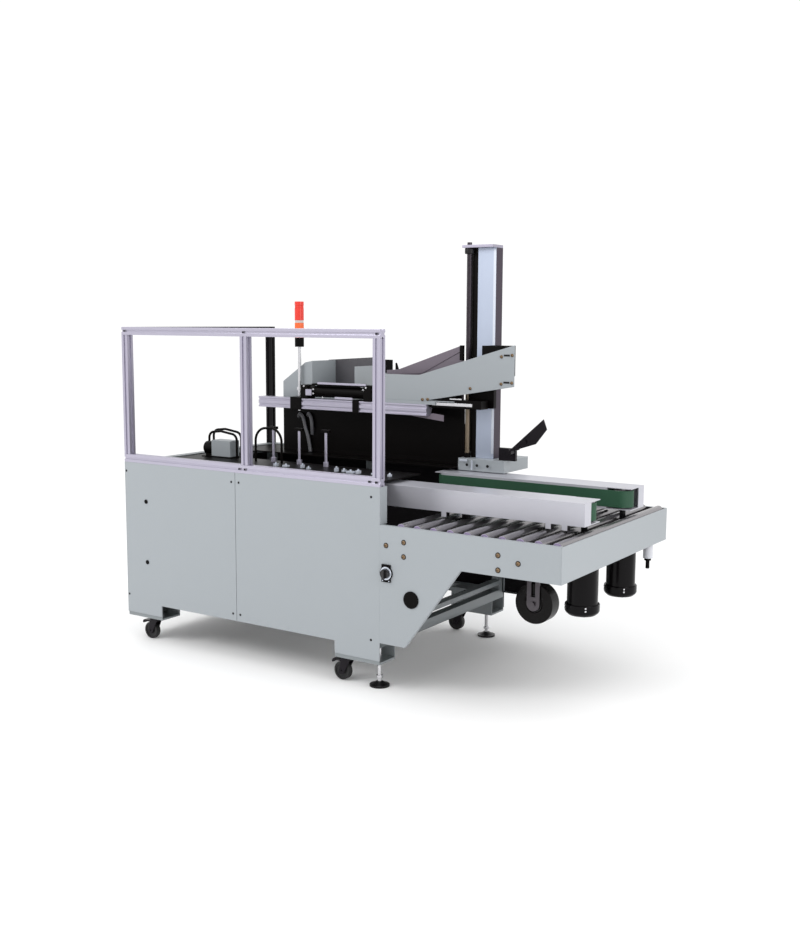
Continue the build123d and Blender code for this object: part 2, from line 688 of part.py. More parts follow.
def seal_arm(pivot_x, lean):
    """Cheeks on the pivot rod with a wiping roller above; lean is the roller's X offset from the pivot."""
    pivot_z = ROLLER_Z - SEAL_PIVOT_DROP
    top_z = ROLLER_Z + ROLLER_R + SEAL_ROLLER_RISE - SEAL_ROLLER_R
    inside = HEAD_PLATE_OFFSET - HEAD_PLATE - SEAL_ARM
    length = math.hypot(lean, top_z - pivot_z)
    tilt = math.degrees(math.atan2(lean, top_z - pivot_z))
    cheek = Box(SEAL_CHEEK, SEAL_ARM, length)
    for end, radius in ((-1, SEAL_BOSS_R), (1, SEAL_TIP_R)):
        cheek += Pos(0, 0, end * length / 2) * Rot(90, 0, 0) * Cylinder(radius, SEAL_ARM)
    middle = Pos(pivot_x + lean / 2, 0, (pivot_z + top_z) / 2) * Rot(0, tilt, 0)
    arm = middle * (Pos(0, SEAL_ARM / 2 - inside, 0) * cheek)
    arm += mirrored(arm)
    arm += along_y(pivot_x, -inside, pivot_z, SEAL_BOSS_R, 2 * inside)
    arm -= along_y(pivot_x, -inside, pivot_z, SEAL_PIVOT_R + SHAFT_CLEARANCE, 2 * inside)
    width = inside - SEAL_ARM
    return [arm, along_y(pivot_x + lean, -width, top_z, SEAL_ROLLER_R, 2 * width)]


# ---- mast and lifting head ----

def mast_column():
    """Column on its foot beam, guide rail, top plate and the lead screw's two bearings."""
    back = MAST_FACE + MAST_DEPTH
    height = MAST_TOP - FOOT_BEAM_TOP
    column = span(MAST_LEFT, MAST_RIGHT, MAST_FACE, back, FOOT_BEAM_TOP, MAST_TOP)
    column -= span(MAST_LEFT + MAST_WALL, MAST_RIGHT - MAST_WALL, MAST_FACE + MAST_WALL, back - MAST_WALL,
                   FOOT_BEAM_TOP, MAST_TOP)
    rail = span(MAST_LEFT - RAIL_WIDTH, MAST_LEFT, MAST_FACE, MAST_FACE + RAIL_DEPTH, FOOT_BEAM_TOP, MAST_TOP)
    x0, x1 = MAST_LEFT - FOOT_BEAM_LEFT, MAST_RIGHT + FOOT_BEAM_RIGHT
    beam = span(x0, x1, MAST_FACE - FOOT_BEAM_FACE, FRAME_HALF - TUBE, FOOT_BEAM_BOTTOM, FOOT_BEAM_TOP)
    plate_left, plate_front = SCREW_X - TOP_PLATE_MARGIN, SCREW_Y - TOP_PLATE_MARGIN
    plate = span(plate_left, MAST_RIGHT, plate_front, back, MAST_TOP, MAST_TOP + TOP_PLATE)
    plate -= along_z(SCREW_X, SCREW_Y, MAST_TOP, SCREW_R + SHAFT_CLEARANCE, TOP_PLATE)
    bearing = along_z(SCREW_X, SCREW_Y, FOOT_BEAM_TOP, BEARING_R, BEARING_HEIGHT)
    bearing -= along_z(SCREW_X, SCREW_Y, FOOT_BEAM_TOP, SCREW_R + SHAFT_CLEARANCE, height)
    return [column, rail, beam, plate, bearing]


def lead_screw():
    start = FOOT_BEAM_TOP + GAP
    reach = MAST_TOP + TOP_PLATE * 2 - start
    return along_z(SCREW_X, SCREW_Y, start, SCREW_R, reach)


def head_carriage():
    """Carriage plate in front of the mast, nut round the lead screw and the arm block that holds the boom."""
    right = MAST_RIGHT + CARRIAGE_LAP
    plate = span(MAST_LEFT - RAIL_WIDTH, right, CARRIAGE_FACE, MAST_FACE - GAP, CARRIAGE_BOTTOM, CARRIAGE_TOP)
    nut_left = SCREW_X - BEARING_R
    nut_y = SCREW_Y - BEARING_R
    plate += span(nut_left, MAST_LEFT, nut_y, MAST_FACE - GAP, NUT_BOTTOM, NUT_BOTTOM + NUT_HEIGHT)
    plate -= along_z(SCREW_X, SCREW_Y, NUT_BOTTOM, SCREW_R + SHAFT_CLEARANCE, NUT_HEIGHT)
    x0, x1 = MAST_RIGHT - CARRIAGE_LAP, X_CABINET + ARM_BLOCK_REACH
    y0 = BOOM_FACE + BOOM_PLATE
    low = BOOM_RIGHT_BOTTOM + TUBE
    wall = ARM_BLOCK_WALL
    block = span(x0, x1, y0, MAST_FACE - GAP, low, ARM_BLOCK_TOP)
    block -= span(x0 + wall, x1 - wall, y0 + wall, MAST_FACE - GAP - wall, low, ARM_BLOCK_TOP)
    return plate + block


def boom():
    """Two bent side plates joined by cross sheets, open at the top."""
    x0, bend, x1 = X_CABINET - BOOM_LEFT_REACH, X_CABINET - BOOM_BEND, X_CABINET + BOOM_RIGHT_REACH
    near = [(x0, BOOM_LEFT_BOTTOM), (bend + BOOM_BEND_SHIFT, BOOM_LEFT_BOTTOM), (x1, BOOM_RIGHT_BOTTOM)]
    near += [(x1, BOOM_RIGHT_TOP), (bend, BOOM_LEFT_TOP), (x0, BOOM_LEFT_TOP)]
    back_end = SCREW_X - BEARING_R - PLATE
    back = [(x0, BOOM_LEFT_BOTTOM), (back_end, BOOM_LEFT_BOTTOM), (back_end, BOOM_BACK_TOP)]
    back += [(X_CABINET - BOOM_BACK_BEND, BOOM_LEFT_TOP), (x0, BOOM_LEFT_TOP)]
    shell = plate_xz(near, BOOM_FACE, BOOM_FACE + BOOM_PLATE)
    shell += plate_xz(back, BOOM_BACK - BOOM_PLATE, BOOM_BACK)
    shell += span(x0, back_end, BOOM_FACE, BOOM_BACK, BOOM_LEFT_BOTTOM, BOOM_LEFT_BOTTOM + BOOM_PLATE)
    shell += span(x0, x0 + BOOM_PLATE, BOOM_FACE, BOOM_BACK, BOOM_LEFT_BOTTOM, BOOM_LEFT_TOP)
    return shell


def beam_axis_y():
    return BOOM_FACE - BEAM_PROUD + BEAM_SIZE / 2


def head_beam():
    """Grooved beam under the boom, with the block that bolts it there."""
    x0, x1 = X_CABINET - BEAM_LEFT_REACH, X_CABINET - BEAM_RIGHT_REACH
    section = Rectangle(BEAM_SIZE, BEAM_SIZE)
    for side in (1, -1):
        for height in (BEAM_SIZE / 4, -BEAM_SIZE / 4):
            section -= Pos(side * (BEAM_SIZE / 2 - GROOVE_DEPTH / 2), height) * Rectangle(GROOVE_DEPTH, GROOVE)
    bar = profile_bar((x0, beam_axis_y(), BEAM_BOTTOM + BEAM_SIZE / 2), (1, 0, 0), x1 - x0, section)
    top = BEAM_BOTTOM + BEAM_SIZE
    block = span(X_CABINET - BOOM_LEFT_REACH, x1 + TUBE, BOOM_FACE, BOOM_FACE + TUBE, top, BOOM_LEFT_BOTTOM)
    return [bar, block]


def beam_clamp(x, length):
    """Square strap round the beam."""
    y, half = beam_axis_y(), BEAM_SIZE / 2
    reach = half + CLAMP_WALL
    low, high = BEAM_BOTTOM, BEAM_BOTTOM + BEAM_SIZE
    strap = span(x, x + length, y - reach, y + reach, low - CLAMP_WALL, high + CLAMP_WALL)
    return strap - span(x, x + length, y - half, y + half, low, high)


def head_unit():
    """Rodless cylinder along the beam: body, end blocks, top band and its two beam clamps."""
    x1 = X_CABINET - BOOM_LEFT_REACH - UNIT_FROM_BOOM
    x0 = x1 - UNIT_LENGTH
    y = beam_axis_y()
    seat = BEAM_BOTTOM + BEAM_SIZE
    z = seat + UNIT_RISE + UNIT_R
    cover = z + UNIT_R + PLATE
    body = along_x(x0, y, z, UNIT_R, UNIT_LENGTH)
    for x in (x0, x1 - TUBE):
        body += span(x, x + TUBE, y - UNIT_BLOCK, y + UNIT_BLOCK, seat, cover)
    body += span(x0 + TUBE * 1.5, x1, y - UNIT_BAND, y + UNIT_BAND, cover, cover + 2 * PLATE)
    body += span(x0 + TUBE * 2, x1 - TUBE * 2, y - 2 * PLATE, y + 2 * PLATE, z + UNIT_R - PLATE, cover)
    return [body, beam_clamp(x0 - CLAMP_WIDE, CLAMP_WIDE), beam_clamp(x1 - CLAMP_FROM_RIGHT, CLAMP_NARROW)]


# ---- magazine and tower ----

def magazine_frame():
    """Black guide plate standing on the deck, with ribs behind it."""
    x0 = X_LEFT + MAGAZINE_MARGIN_LEFT
    front = MAGAZINE_FACE
    back = front + MAGAZINE_PLATE
    frame = span(x0, DECK_RIGHT, front, back, DECK_TOP, MAGAZINE_TOP)
    for x in (x0, (x0 + DECK_RIGHT) / 2, DECK_RIGHT - MAGAZINE_PLATE):
        frame += span(x, x + MAGAZINE_PLATE, back, FRAME_HALF - TUBE, DECK_TOP, MAGAZINE_TOP - TUBE * 2)
    return frame


def magazine_hood():
    """Painted hood sheets above the guide plate: front wing, step and set-back top panel with side returns."""
    x0 = X_LEFT + MAGAZINE_MARGIN_LEFT
    x1 = x0 + HOOD_LENGTH
    corner = x0 + HOOD_CHAMFER
    front = MAGAZINE_FACE
    back = front + MAGAZINE_PLATE
    deep = front + HOOD_DEPTH
    wing = [(x0, MAGAZINE_TOP), (corner + HOOD_STRIP, MAGAZINE_TOP), (corner + HOOD_STRIP, HOOD_TOP)]
    wing += [(corner, HOOD_CORNER_TOP), (x0, HOOD_WING_TOP)]
    hood = plate_xz(wing, front, back)
    panel = [(x0, MAGAZINE_TOP), (x1, MAGAZINE_TOP), (x1, HOOD_TOP_RIGHT), (corner, HOOD_TOP), (x0, HOOD_WING_TOP)]
    hood += plate_xz(panel, deep - SHEET, deep)
    step = corner + HOOD_STRIP
    hood += span(step - SHEET, step, front, deep, MAGAZINE_TOP, HOOD_TOP)
    hood += span(x0, x0 + SHEET, front, deep, MAGAZINE_TOP, HOOD_WING_TOP)
    hood += span(x1 - SHEET, x1, front, deep, MAGAZINE_TOP, HOOD_TOP_RIGHT - TUBE)
    return hood + span(x0, x1, front, deep, MAGAZINE_TOP, MAGAZINE_TOP + SHEET)


def tower_pole():
    x = X_LEFT + TOWER_FROM_LEFT
    pole = along_z(x, TOWER_Y, TOWER_BOTTOM, TOWER_POLE_R, TOWER_BASE_BOTTOM - TOWER_BOTTOM)
    for z in (TOWER_BOTTOM + TUBE / 4, HOOD_WING_TOP - TUBE):
        pole += span(x - POLE_CLIP / 2, x + POLE_CLIP / 2, TOWER_Y - PLATE, MAGAZINE_FACE, z, z + POLE_CLIP_HEIGHT)
    return pole + along_z(x, TOWER_Y, TOWER_BASE_BOTTOM, TOWER_R, TOWER_BASE_TOP - TOWER_BASE_BOTTOM)


def tower_lenses():
    """Lower and upper lens with a separator ring between them and a rounded cap."""
    x = X_LEFT + TOWER_FROM_LEFT
    z = TOWER_BASE_TOP
    pieces = []
    for step, height in enumerate(LENS_HEIGHTS):
        radius = TOWER_R - (step % 2)
        pieces.append(along_z(x, TOWER_Y, z, radius, height))
        z += height
    return pieces


# ---- plow, pneumatics, rods ----

def plow_pivot():
    """X and Z of the plow's hinge at the right end of the foot beam."""
    return MAST_RIGHT + FOOT_BEAM_RIGHT + PLOW_PIVOT_REACH, FOOT_BEAM_TOP + TUBE


def flap_plow():
    """Bent folding blade on a hinge barrel, raised over the carton's trailing flap."""
    x, z = plow_pivot()
    front = MAST_FACE - FOOT_BEAM_FACE - PLOW_STANDOFF
    blade = [(x + along, z + up) for along, up in PLOW_OUTLINE]
    plow = plate_xz(blade, front, front + PLOW_BLADE)
    for along, up in PLOW_KNOBS:
        plow += along_y(x + along, front - PLOW_KNOB_R, z + up, PLOW_KNOB_R, PLOW_KNOB_R)
    plow += along_y(x, front, z, PLOW_BARREL_R, PLOW_BARREL)
    return plow - along_y(x, front, z, PLOW_PIN_R + SHAFT_CLEARANCE, PLOW_BARREL)


def plow_bracket():
    """Lug and pin that carry the plow on the foot beam."""
    x, z = plow_pivot()
    front = MAST_FACE - FOOT_BEAM_FACE - PLOW_STANDOFF
    lug_front = front + PLOW_BARREL + GAP
    right = MAST_RIGHT + FOOT_BEAM_RIGHT
    reach = PLOW_BARREL_R + SHEET
    lug = span(right - TUBE, x + reach, lug_front, lug_front + POST, FOOT_BEAM_TOP, z + reach)
    return lug + along_y(x, front - SHEET, z, PLOW_PIN_R, PLOW_BARREL + SHEET + PLOW_BARREL_R)


def pump():
    """Vacuum pump box on its plate, with its round motor in a saddle."""
    x0 = X_LEFT + PUMP_FROM_LEFT
    y0 = PUMP_Y
    length, depth, height = PUMP_BOX
    low = DECK_TOP + PLATE
    box = span(x0 + PUMP_MOTOR, x0 + PUMP_MOTOR + length, y0, y0 + depth, low, low + height)
    plate = span(x0, x0 + PUMP_PLATE, y0 - PUMP_MARGIN, y0 + depth + PUMP_MARGIN, DECK_TOP, low)
    motor = along_x(x0, y0 + depth / 2, DECK_TOP + PUMP_MOTOR_RISE, PUMP_MOTOR_R, PUMP_MOTOR)
    long, wide, high = PUMP_SADDLE
    saddle_x = x0 + (PUMP_MOTOR - long) / 2
    saddle_y = y0 + (depth - wide) / 2
    return box + plate + motor + span(saddle_x, saddle_x + long, saddle_y, saddle_y + wide, low, low + high)


def air_filter():
    """Regulator block under the far end of the conveyor, with its bowl and drain."""
    x = X_RIGHT - FILTER_FROM_END
    y = Y_FAR - FILTER_FROM_SIDE
    seat = SIDE_BOTTOM + PUMP_MARGIN
    bowl = seat - FILTER_BOWL
    unit = span(x - FILTER_R, X_RIGHT - PLATE, y - FILTER_R, y + FILTER_R, seat, seat + TUBE)
    unit += along_z(x, y, bowl, FILTER_R, FILTER_BOWL)
    unit += along_z(x, y, bowl - PUMP_MARGIN, FILTER_COLLAR_R, PUMP_MARGIN)
    return unit + along_z(x, y, bowl - PUMP_MARGIN - FILTER_DRAIN, FILTER_DRAIN_R, FILTER_DRAIN)


def hose(points, bend):
    path = FilletPolyline(*points, radius=bend)
    profile = Plane(origin=path @ 0, z_dir=path % 0) * Circle(HOSE_R)
    return sweep(profile, path=path)


def hoses():
    """Hoses held at both ends: two over the pump and one loop from the deck back into it."""
    start = X_LEFT + PUMP_FROM_LEFT + PUMP_MOTOR / 2
    middle = PUMP_Y + PUMP_BOX[1] / 2
    motor_top = DECK_TOP + PUMP_MOTOR_RISE + PUMP_MOTOR_R
    loops = []
    for side, rise in zip(PUMP_HOSE_OFFSETS, PUMP_HOSE_RISES):
        y = middle + side
        over = DECK_TOP + rise
        end = start + PUMP_HOSE_SPAN
        points = [(start, y, motor_top), (start, y, over), (start + PUMP_HOSE_CROWN, y, over + 2 * PLATE)]
        points += [(end, y, over - HOSE_R), (end, y, DECK_TOP)]
        loops.append(hose(points, HOSE_BEND))
    x1 = X_LEFT + DECK_HOSE_FROM_LEFT
    x2 = x1 + DECK_HOSE_SPAN
    y = DECK_HOSE_Y
    top = DECK_TOP + DECK_HOSE_RISE
    loops.append(hose([(x1, y, DECK_TOP), (x1, y, top), (x2, y, top + HOSE_R), (x2, y, DECK_TOP)], DECK_HOSE_BEND))
    return loops


def guide_rods():
    """Cross shafts under the rollers and the capped upright rods on the deck."""
    rods = []
    inner = WIDTH / 2 - PLATE
    for x in SHAFT_X:
        rods.append(along_y(x, -inner, SHAFT_Z, CROSS_SHAFT_R, 2 * inner))
    for k in range(3):
        x = X_LEFT + FIRST_ROD + ROD_SPACING * k
        upright = along_z(x, ROD_Y, DECK_TOP, ROD_R, ROD_HEIGHT)
        upright += along_z(x, ROD_Y, DECK_TOP, ROD_R * 2, TUBE / 2)
        long, wide, high = ROD_CAP
        top = DECK_TOP + ROD_HEIGHT
        upright += span(x - long / 2, x + long / 2, ROD_Y - wide / 2, ROD_Y + wide / 2, top, top + high)
        rods.append(upright)
    return rods


# ---- small parts ----

def near_disc(x, z, radius, height, face=None):
    """Round head standing out of a near-side face."""
    front = Y_NEAR if face is None else face
    return along_y(x, front - height, z, radius, height)


def fasteners():
    """Zinc bolts of the side plates and small screws of the near panels."""
    heads = []
    middle = TABLE_TOP - SIDE_DEPTH / 2
    for along, up in BOLT_PLACES:
        bolt = near_disc(X_CABINET + along, middle + up, BOLT_R, BOLT_HEAD)
        heads += [bolt, mirrored(bolt)]
    inset = TUBE / 2
    columns = (X_SEAM - inset, X_SEAM + inset, X_LEFT + inset / 2, X_CABINET - inset * 2)
    for x in columns:
        for z in (CABINET_TOP - TUBE, SKIRT_BOTTOM + TUBE - inset / 2):
            screw = near_disc(x, z, SCREW_HEAD_R, SCREW_HEAD)
            heads += [screw, mirrored(screw)]
    return heads


def switch_place():
    return X_CABINET + SWITCH_RIGHT, TABLE_TOP - SWITCH_DROP


def panel_fittings():
    """Hole plugs, cable grommet and the main switch's plate."""
    plugs = [near_disc(X_LEFT + PLUG_FROM_LEFT, z, PLUG_R, SHEET) for z in PLUG_HEIGHTS]
    grommet = near_disc(X_CABINET + GROMMET_RIGHT, SIDE_BOTTOM - GROMMET_DROP, GROMMET_R, PLATE)
    x, z = switch_place()
    wide, high = SWITCH_PLATE
    thick = SWITCH_PLATE_THICK
    plate = span(x - wide / 2, x + wide / 2, Y_NEAR - thick, Y_NEAR, z - high / 2, z + high / 2)
    plate += near_disc(x, z, KNOB_R + KNOB_BAR, thick)
    plate -= near_disc(x, z, SWITCH_STEM_R + SHAFT_CLEARANCE, thick)
    return plugs + [grommet, plate]


def main_switch_knob():
    x, z = switch_place()
    face = Y_NEAR - SWITCH_PLATE_THICK - GAP
    top = face - KNOB_HEIGHT
    knob = near_disc(x, z, KNOB_R, KNOB_HEIGHT, face)
    knob += near_disc(x, z, SWITCH_STEM_R, SWITCH_PLATE_THICK, Y_NEAR - GAP)
    return knob + span(x - KNOB_BAR / 2, x + KNOB_BAR / 2, top - KNOB_BAR, top, z - KNOB_R, z + KNOB_R)


# ---- running gear ----

def caster_fork(x, y, lift):
    """Swivel head, two cheeks, axle bolt, brake pedal and kingpin."""
    axle_x = x - CASTER_TRAIL
    axle_z = WHEEL_R + lift
    top = CASTER_HEIGHT - CASTER_PLATE - GAP + lift
    low = top - FORK_HEAD
    fork = along_z(x, y, low, FORK_HEAD_R, FORK_HEAD)
    fork += along_z(x, y, top - GAP, KINGPIN_R, CASTER_PLATE + LEG_PLATE - lift)
    inside = WHEEL_WIDTH / 2 + FORK_CHEEK_GAP
    half = FORK_AXLE_HALF
    outline = [(axle_x - half, axle_z - half), (axle_x + half, axle_z - half), (x + FORK_RIGHT, low)]
    outline += [(x + FORK_RIGHT, top), (x - FORK_LEFT, top), (x - FORK_LEFT, low)]
    for inner, outer in ((y - inside - FORK_CHEEK, y - inside), (y + inside, y + inside + FORK_CHEEK)):
        fork += plate_xz(outline, inner, outer)
    reach = inside + 2 * FORK_CHEEK
    fork += along_y(axle_x, y - reach, axle_z, CASTER_AXLE_R, 2 * reach)
    under = axle_z + WHEEL_R + 1
    tip = x - PEDAL_LENGTH
    half = PEDAL_THICKNESS / 2
    pedal = [(x + half, under), (x + half, under + 2 * half), (tip + half, under + half)]
    pedal += [(tip, under - half), (tip + half, under - 2 * half), (tip + 2 * half, under)]
    return fork + plate_xz(pedal, y - inside, y + inside)


def caster_wheel(x, y, lift):
    """Rounded tread, narrower hub faces and the axle bore."""
    axle_x = x - CASTER_TRAIL
    axle_z = WHEEL_R + lift
    half = WHEEL_WIDTH / 2
    wheel = fillet(Cylinder(WHEEL_R, WHEEL_WIDTH).edges().filter_by(GeomType.CIRCLE), 3)
    for side in (-1, 1):
        wheel -= Pos(0, 0, side * half) * (Cylinder(WHEEL_R - 10, 6) - Cylinder(12, 6))
    wheel -= Cylinder(CASTER_AXLE_R + SHAFT_CLEARANCE, WHEEL_WIDTH)
    return Pos(axle_x, y, axle_z) * Rot(90, 0, 0) * wheel


def levelling_foot(y):
    """Round foot with a domed top and a threaded stem through the leg plate."""
    x = level_foot_x()
    stem_top = SKIRT_BOTTOM + TUBE - FOOT_NUT
    upwards = (Align.CENTER, Align.CENTER, Align.MIN)
    foot = along_z(x, y, 0, LEVEL_FOOT_R, FOOT_DISC)
    foot += Pos(x, y, FOOT_DISC) * Cone(LEVEL_FOOT_R - LEVEL_STEM_R, FOOT_NUT_R, FOOT_DOME, align=upwards)
    foot += along_z(x, y, FOOT_DISC + FOOT_DOME, LEVEL_STEM_R, stem_top - FOOT_DISC - FOOT_DOME)
    return foot + along_z(x, y, FOOT_NUT_HEIGHT, FOOT_NUT_R, FOOT_NUT)


def main():
    os.makedirs("parts", exist_ok=True)
    save("base_frame", *base_frame())
    save("near_left_panel", near_left_panel())
    save("near_right_panel", near_right_panel())
    save("far_panel", far_panel())
    save("left_end_panel", left_end_panel())
    save("deck_plates", *deck_plates())
    save("guard_frame", *guard_frame())
    save("end_guard", *end_guard())
    side = side_plate()
    save("conveyor_side_near", side)
    save("conveyor_side_far", mirrored(side))
    save("conveyor_end_plate", end_plate())
    save("fasteners", *fasteners())
    save("panel_fittings", *panel_fittings())
    save("main_switch_knob", main_switch_knob())
    for number, x in enumerate(ROLLER_X, 1):
        save(f"roller_{number:02d}", *roller(x))
    for side, shape in (("near", lambda piece: piece), ("far", mirrored)):
        save(f"{side}_drive_housing", shape(drive_housing()))
        save(f"{side}_side_belt", shape(side_belt()))
        save(f"{side}_drive_pulley", shape(drive_pulley()))
        save(f"{side}_belt_motor", shape(belt_motor()))
    save("tape_head_frame", tape_head_frame())
    save("tape_roll", *tape_roll())
    front, rear = seal_pivots()
    save("tape_front_arm", *seal_arm(front, SEAL_LEAN))
    save("tape_rear_arm", *seal_arm(rear, -SEAL_LEAN))
    save("mast_column", *mast_column(), plow_bracket())
    save("lead_screw", lead_screw())
    save("head_carriage", head_carriage())
    save("boom", boom())
    save("head_beam", *head_beam())
    save("head_cylinder", *head_unit())
    save("magazine_frame", magazine_frame())
    save("magazine_hood", magazine_hood())
    save("tower_pole", tower_pole())
    save("tower_lenses", *tower_lenses())
    save("flap_plow", flap_plow())
    save("pneumatic_units", pump(), air_filter())
    save("hoses", *hoses())
    save("guide_rods", *guide_rods())
    for place, (x, y, lift) in caster_places().items():
        save(f"caster_fork_{place}", caster_fork(x, y, lift))
        save(f"caster_wheel_{place}", caster_wheel(x, y, lift))
    near, far = foot_places()
    save("levelling_foot_near", levelling_foot(near))
    save("levelling_foot_far", levelling_foot(far))


main()
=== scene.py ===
"""Carton bottom sealer: every piece in its finish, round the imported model. Metres, +Z up."""

import math

import bmesh
import bpy
from mathutils import Matrix, Vector


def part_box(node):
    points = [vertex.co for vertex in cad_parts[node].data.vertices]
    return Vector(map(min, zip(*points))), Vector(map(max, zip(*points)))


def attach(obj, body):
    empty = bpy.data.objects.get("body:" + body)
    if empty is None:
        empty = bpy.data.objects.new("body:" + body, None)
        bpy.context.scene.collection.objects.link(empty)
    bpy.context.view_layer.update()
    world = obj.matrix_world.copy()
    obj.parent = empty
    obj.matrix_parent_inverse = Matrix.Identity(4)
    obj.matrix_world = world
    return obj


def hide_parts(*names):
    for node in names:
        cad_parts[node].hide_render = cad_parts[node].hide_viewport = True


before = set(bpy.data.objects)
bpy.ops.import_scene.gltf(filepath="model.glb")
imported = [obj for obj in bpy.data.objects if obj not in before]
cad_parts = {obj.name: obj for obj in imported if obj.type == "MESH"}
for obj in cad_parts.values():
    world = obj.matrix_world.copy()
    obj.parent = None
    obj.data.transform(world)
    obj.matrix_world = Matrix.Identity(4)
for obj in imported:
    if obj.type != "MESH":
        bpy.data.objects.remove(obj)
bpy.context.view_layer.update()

# ---- Base frame ----
# Welded square steel tube in two-pack grey, drilled for the casters and feet before painting.
# It carries the panels, the deck and the conveyor sides.

slow_shade = 5.0
sheen_spread = 0.1
least_rough = 0.02
relief_depth = 0.0004
weld_gap = 0.00001
flat = math.radians(0.5)
sharp_turn = 0.7
shading_turn = 0.6


def surface(name, colour, rough, metal=0.0, grain=900.0, bump=0.1, mottle=0.05,
            brushed=(1, 1, 1), shine=0.5):
    """A finish with fine grain, slow changes of shade and an uneven sheen. brushed stretches the grain."""
    finish = bpy.data.materials.new(name)
    finish.use_nodes = True
    nodes, links = finish.node_tree.nodes, finish.node_tree.links
    shader = nodes["Principled BSDF"]
    where = nodes.new("ShaderNodeTexCoord")
    place = nodes.new("ShaderNodeMapping")
    place.inputs["Scale"].default_value = brushed
    links.new(where.outputs["Object"], place.inputs["Vector"])
    fine = nodes.new("ShaderNodeTexNoise")
    fine.inputs["Scale"].default_value = grain
    fine.inputs["Detail"].default_value = 4
    links.new(place.outputs["Vector"], fine.inputs["Vector"])
    slow = nodes.new("ShaderNodeTexNoise")
    slow.inputs["Scale"].default_value = slow_shade
    slow.inputs["Detail"].default_value = 5
    links.new(where.outputs["Object"], slow.inputs["Vector"])
    shade = nodes.new("ShaderNodeMix")
    shade.data_type = "RGBA"
    shade.inputs["A"].default_value = (*(c * (1 - mottle) for c in colour), 1)
    shade.inputs["B"].default_value = (*(min(1, c * (1 + mottle)) for c in colour), 1)
    both = nodes.new("ShaderNodeMath")
    both.operation = "ADD"
    weigh = nodes.new("ShaderNodeMath")
    weigh.operation = "MULTIPLY"
    weigh.inputs[1].default_value = 0.5
    links.new(fine.outputs["Fac"], both.inputs[0])
    links.new(slow.outputs["Fac"], both.inputs[1])
    links.new(both.outputs["Value"], weigh.inputs[0])
    links.new(weigh.outputs["Value"], shade.inputs["Factor"])
    links.new(shade.outputs["Result"], shader.inputs["Base Color"])
    sheen = nodes.new("ShaderNodeMapRange")
    sheen.inputs["To Min"].default_value = max(least_rough, rough - sheen_spread)
    sheen.inputs["To Max"].default_value = min(1, rough + sheen_spread)
    links.new(weigh.outputs["Value"], sheen.inputs["Value"])
    links.new(sheen.outputs["Result"], shader.inputs["Roughness"])
    relief = nodes.new("ShaderNodeBump")
    relief.inputs["Strength"].default_value = bump
    relief.inputs["Distance"].default_value = relief_depth
    links.new(fine.outputs["Fac"], relief.inputs["Height"])
    links.new(relief.outputs["Normal"], shader.inputs["Normal"])
    shader.inputs["Metallic"].default_value = metal
    shader.inputs["Specular IOR Level"].default_value = shine
    return finish


def welded(node):
    """A sub-part's own mesh as one skin, with each flat face whole."""
    bm = bmesh.new()
    bm.from_mesh(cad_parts[node].data)
    bmesh.ops.remove_doubles(bm, verts=bm.verts, dist=weld_gap)
    bmesh.ops.dissolve_limit(bm, angle_limit=flat, verts=bm.verts, edges=bm.edges)
    return bm


def ease(bm, width, segments=2):
    """Rounds every sharp edge."""
    sharp = [e for e in bm.edges if len(e.link_faces) == 2 and e.calc_face_angle(0) > sharp_turn]
    bmesh.ops.bevel(bm, geom=sharp, offset=width, offset_type="OFFSET", segments=segments, profile=0.5,
                    affect="EDGES", clamp_overlap=True, material=-1)


def piece(name, bm, finishes, body, slot, *nodes):
    """Puts a finished mesh on its body, smooth except where it turns sharply."""
    for face in bm.faces:
        face.smooth = True
    for edge in bm.edges:
        edge.smooth = not (len(edge.link_faces) == 2 and edge.calc_face_angle(0) > shading_turn)
    mesh = bpy.data.meshes.new(name)
    bm.to_mesh(mesh)
    bm.free()
    made = bpy.data.objects.new(name, mesh)
    bpy.context.scene.collection.objects.link(made)
    for finish in finishes if isinstance(finishes, (list, tuple)) else [finishes]:
        mesh.materials.append(finish)
    even = made.modifiers.new("Even shading", "WEIGHTED_NORMAL")
    even.keep_sharp = True
    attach(made, body)
    if nodes:
        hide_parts(*nodes)
    return made


frame_paint = surface("Grey frame enamel", (0.20, 0.22, 0.23), 0.42, grain=500, bump=0.25)
tubes = welded("base_frame")
ease(tubes, 0.0015)
piece("base_frame_tubes", tubes, frame_paint, "machine", "frame_paint", "base_frame")

# ---- Cabinet panels and deck ----
# Folded 2.5 mm sheet, powder coated light grey, screwed to the frame. The deck is a black plate
# with an opening where the cartons come down.

facing = 0.9


def second_finish(bm, choose):
    """Gives the second finish to every face that choose picks."""
    for face in bm.faces:
        face.material_index = 1 if choose(face) else 0


def painted_sheet(node, inner_way, edge):
    """A folded sheet with eased edges, and painted shade on the face that looks into the machine."""
    sheet = welded(node)
    ease(sheet, edge, 3)
    second_finish(sheet, lambda face: face.normal.dot(Vector(inner_way)) > facing)
    piece(node + "_sheet", sheet, [panel_paint, painted_inner_shade], "machine", "panel_paint", node)


panel_paint = surface("Light grey powder coat", (0.30, 0.325, 0.345), 0.42, grain=650, bump=0.3,
                      mottle=0.035)
black_paint = surface("Black satin paint", (0.0022, 0.0016, 0.0015), 0.4, grain=500, bump=0.2,
                      mottle=0.3, shine=0.07)
# Painted shade: the coat made near black for the faces that look into the machine, whose inside lies in
# shadow.
painted_inner_shade = surface("Painted inner shade", (0.006, 0.005, 0.006), 0.7, grain=350, bump=0.5,
                      mottle=0.3, shine=0.1)
inward = {"near_left_panel": (0, 1, 0), "near_right_panel": (0, 1, 0), "far_panel": (0, -1, 0),
          "left_end_panel": (1, 0, 0)}
for node, inner_way in inward.items():
    painted_sheet(node, inner_way, 0.0008)
deck = welded("deck_plates")
ease(deck, 0.0008)
piece("deck_sheet", deck, black_paint, "machine", "black_paint", "deck_plates")

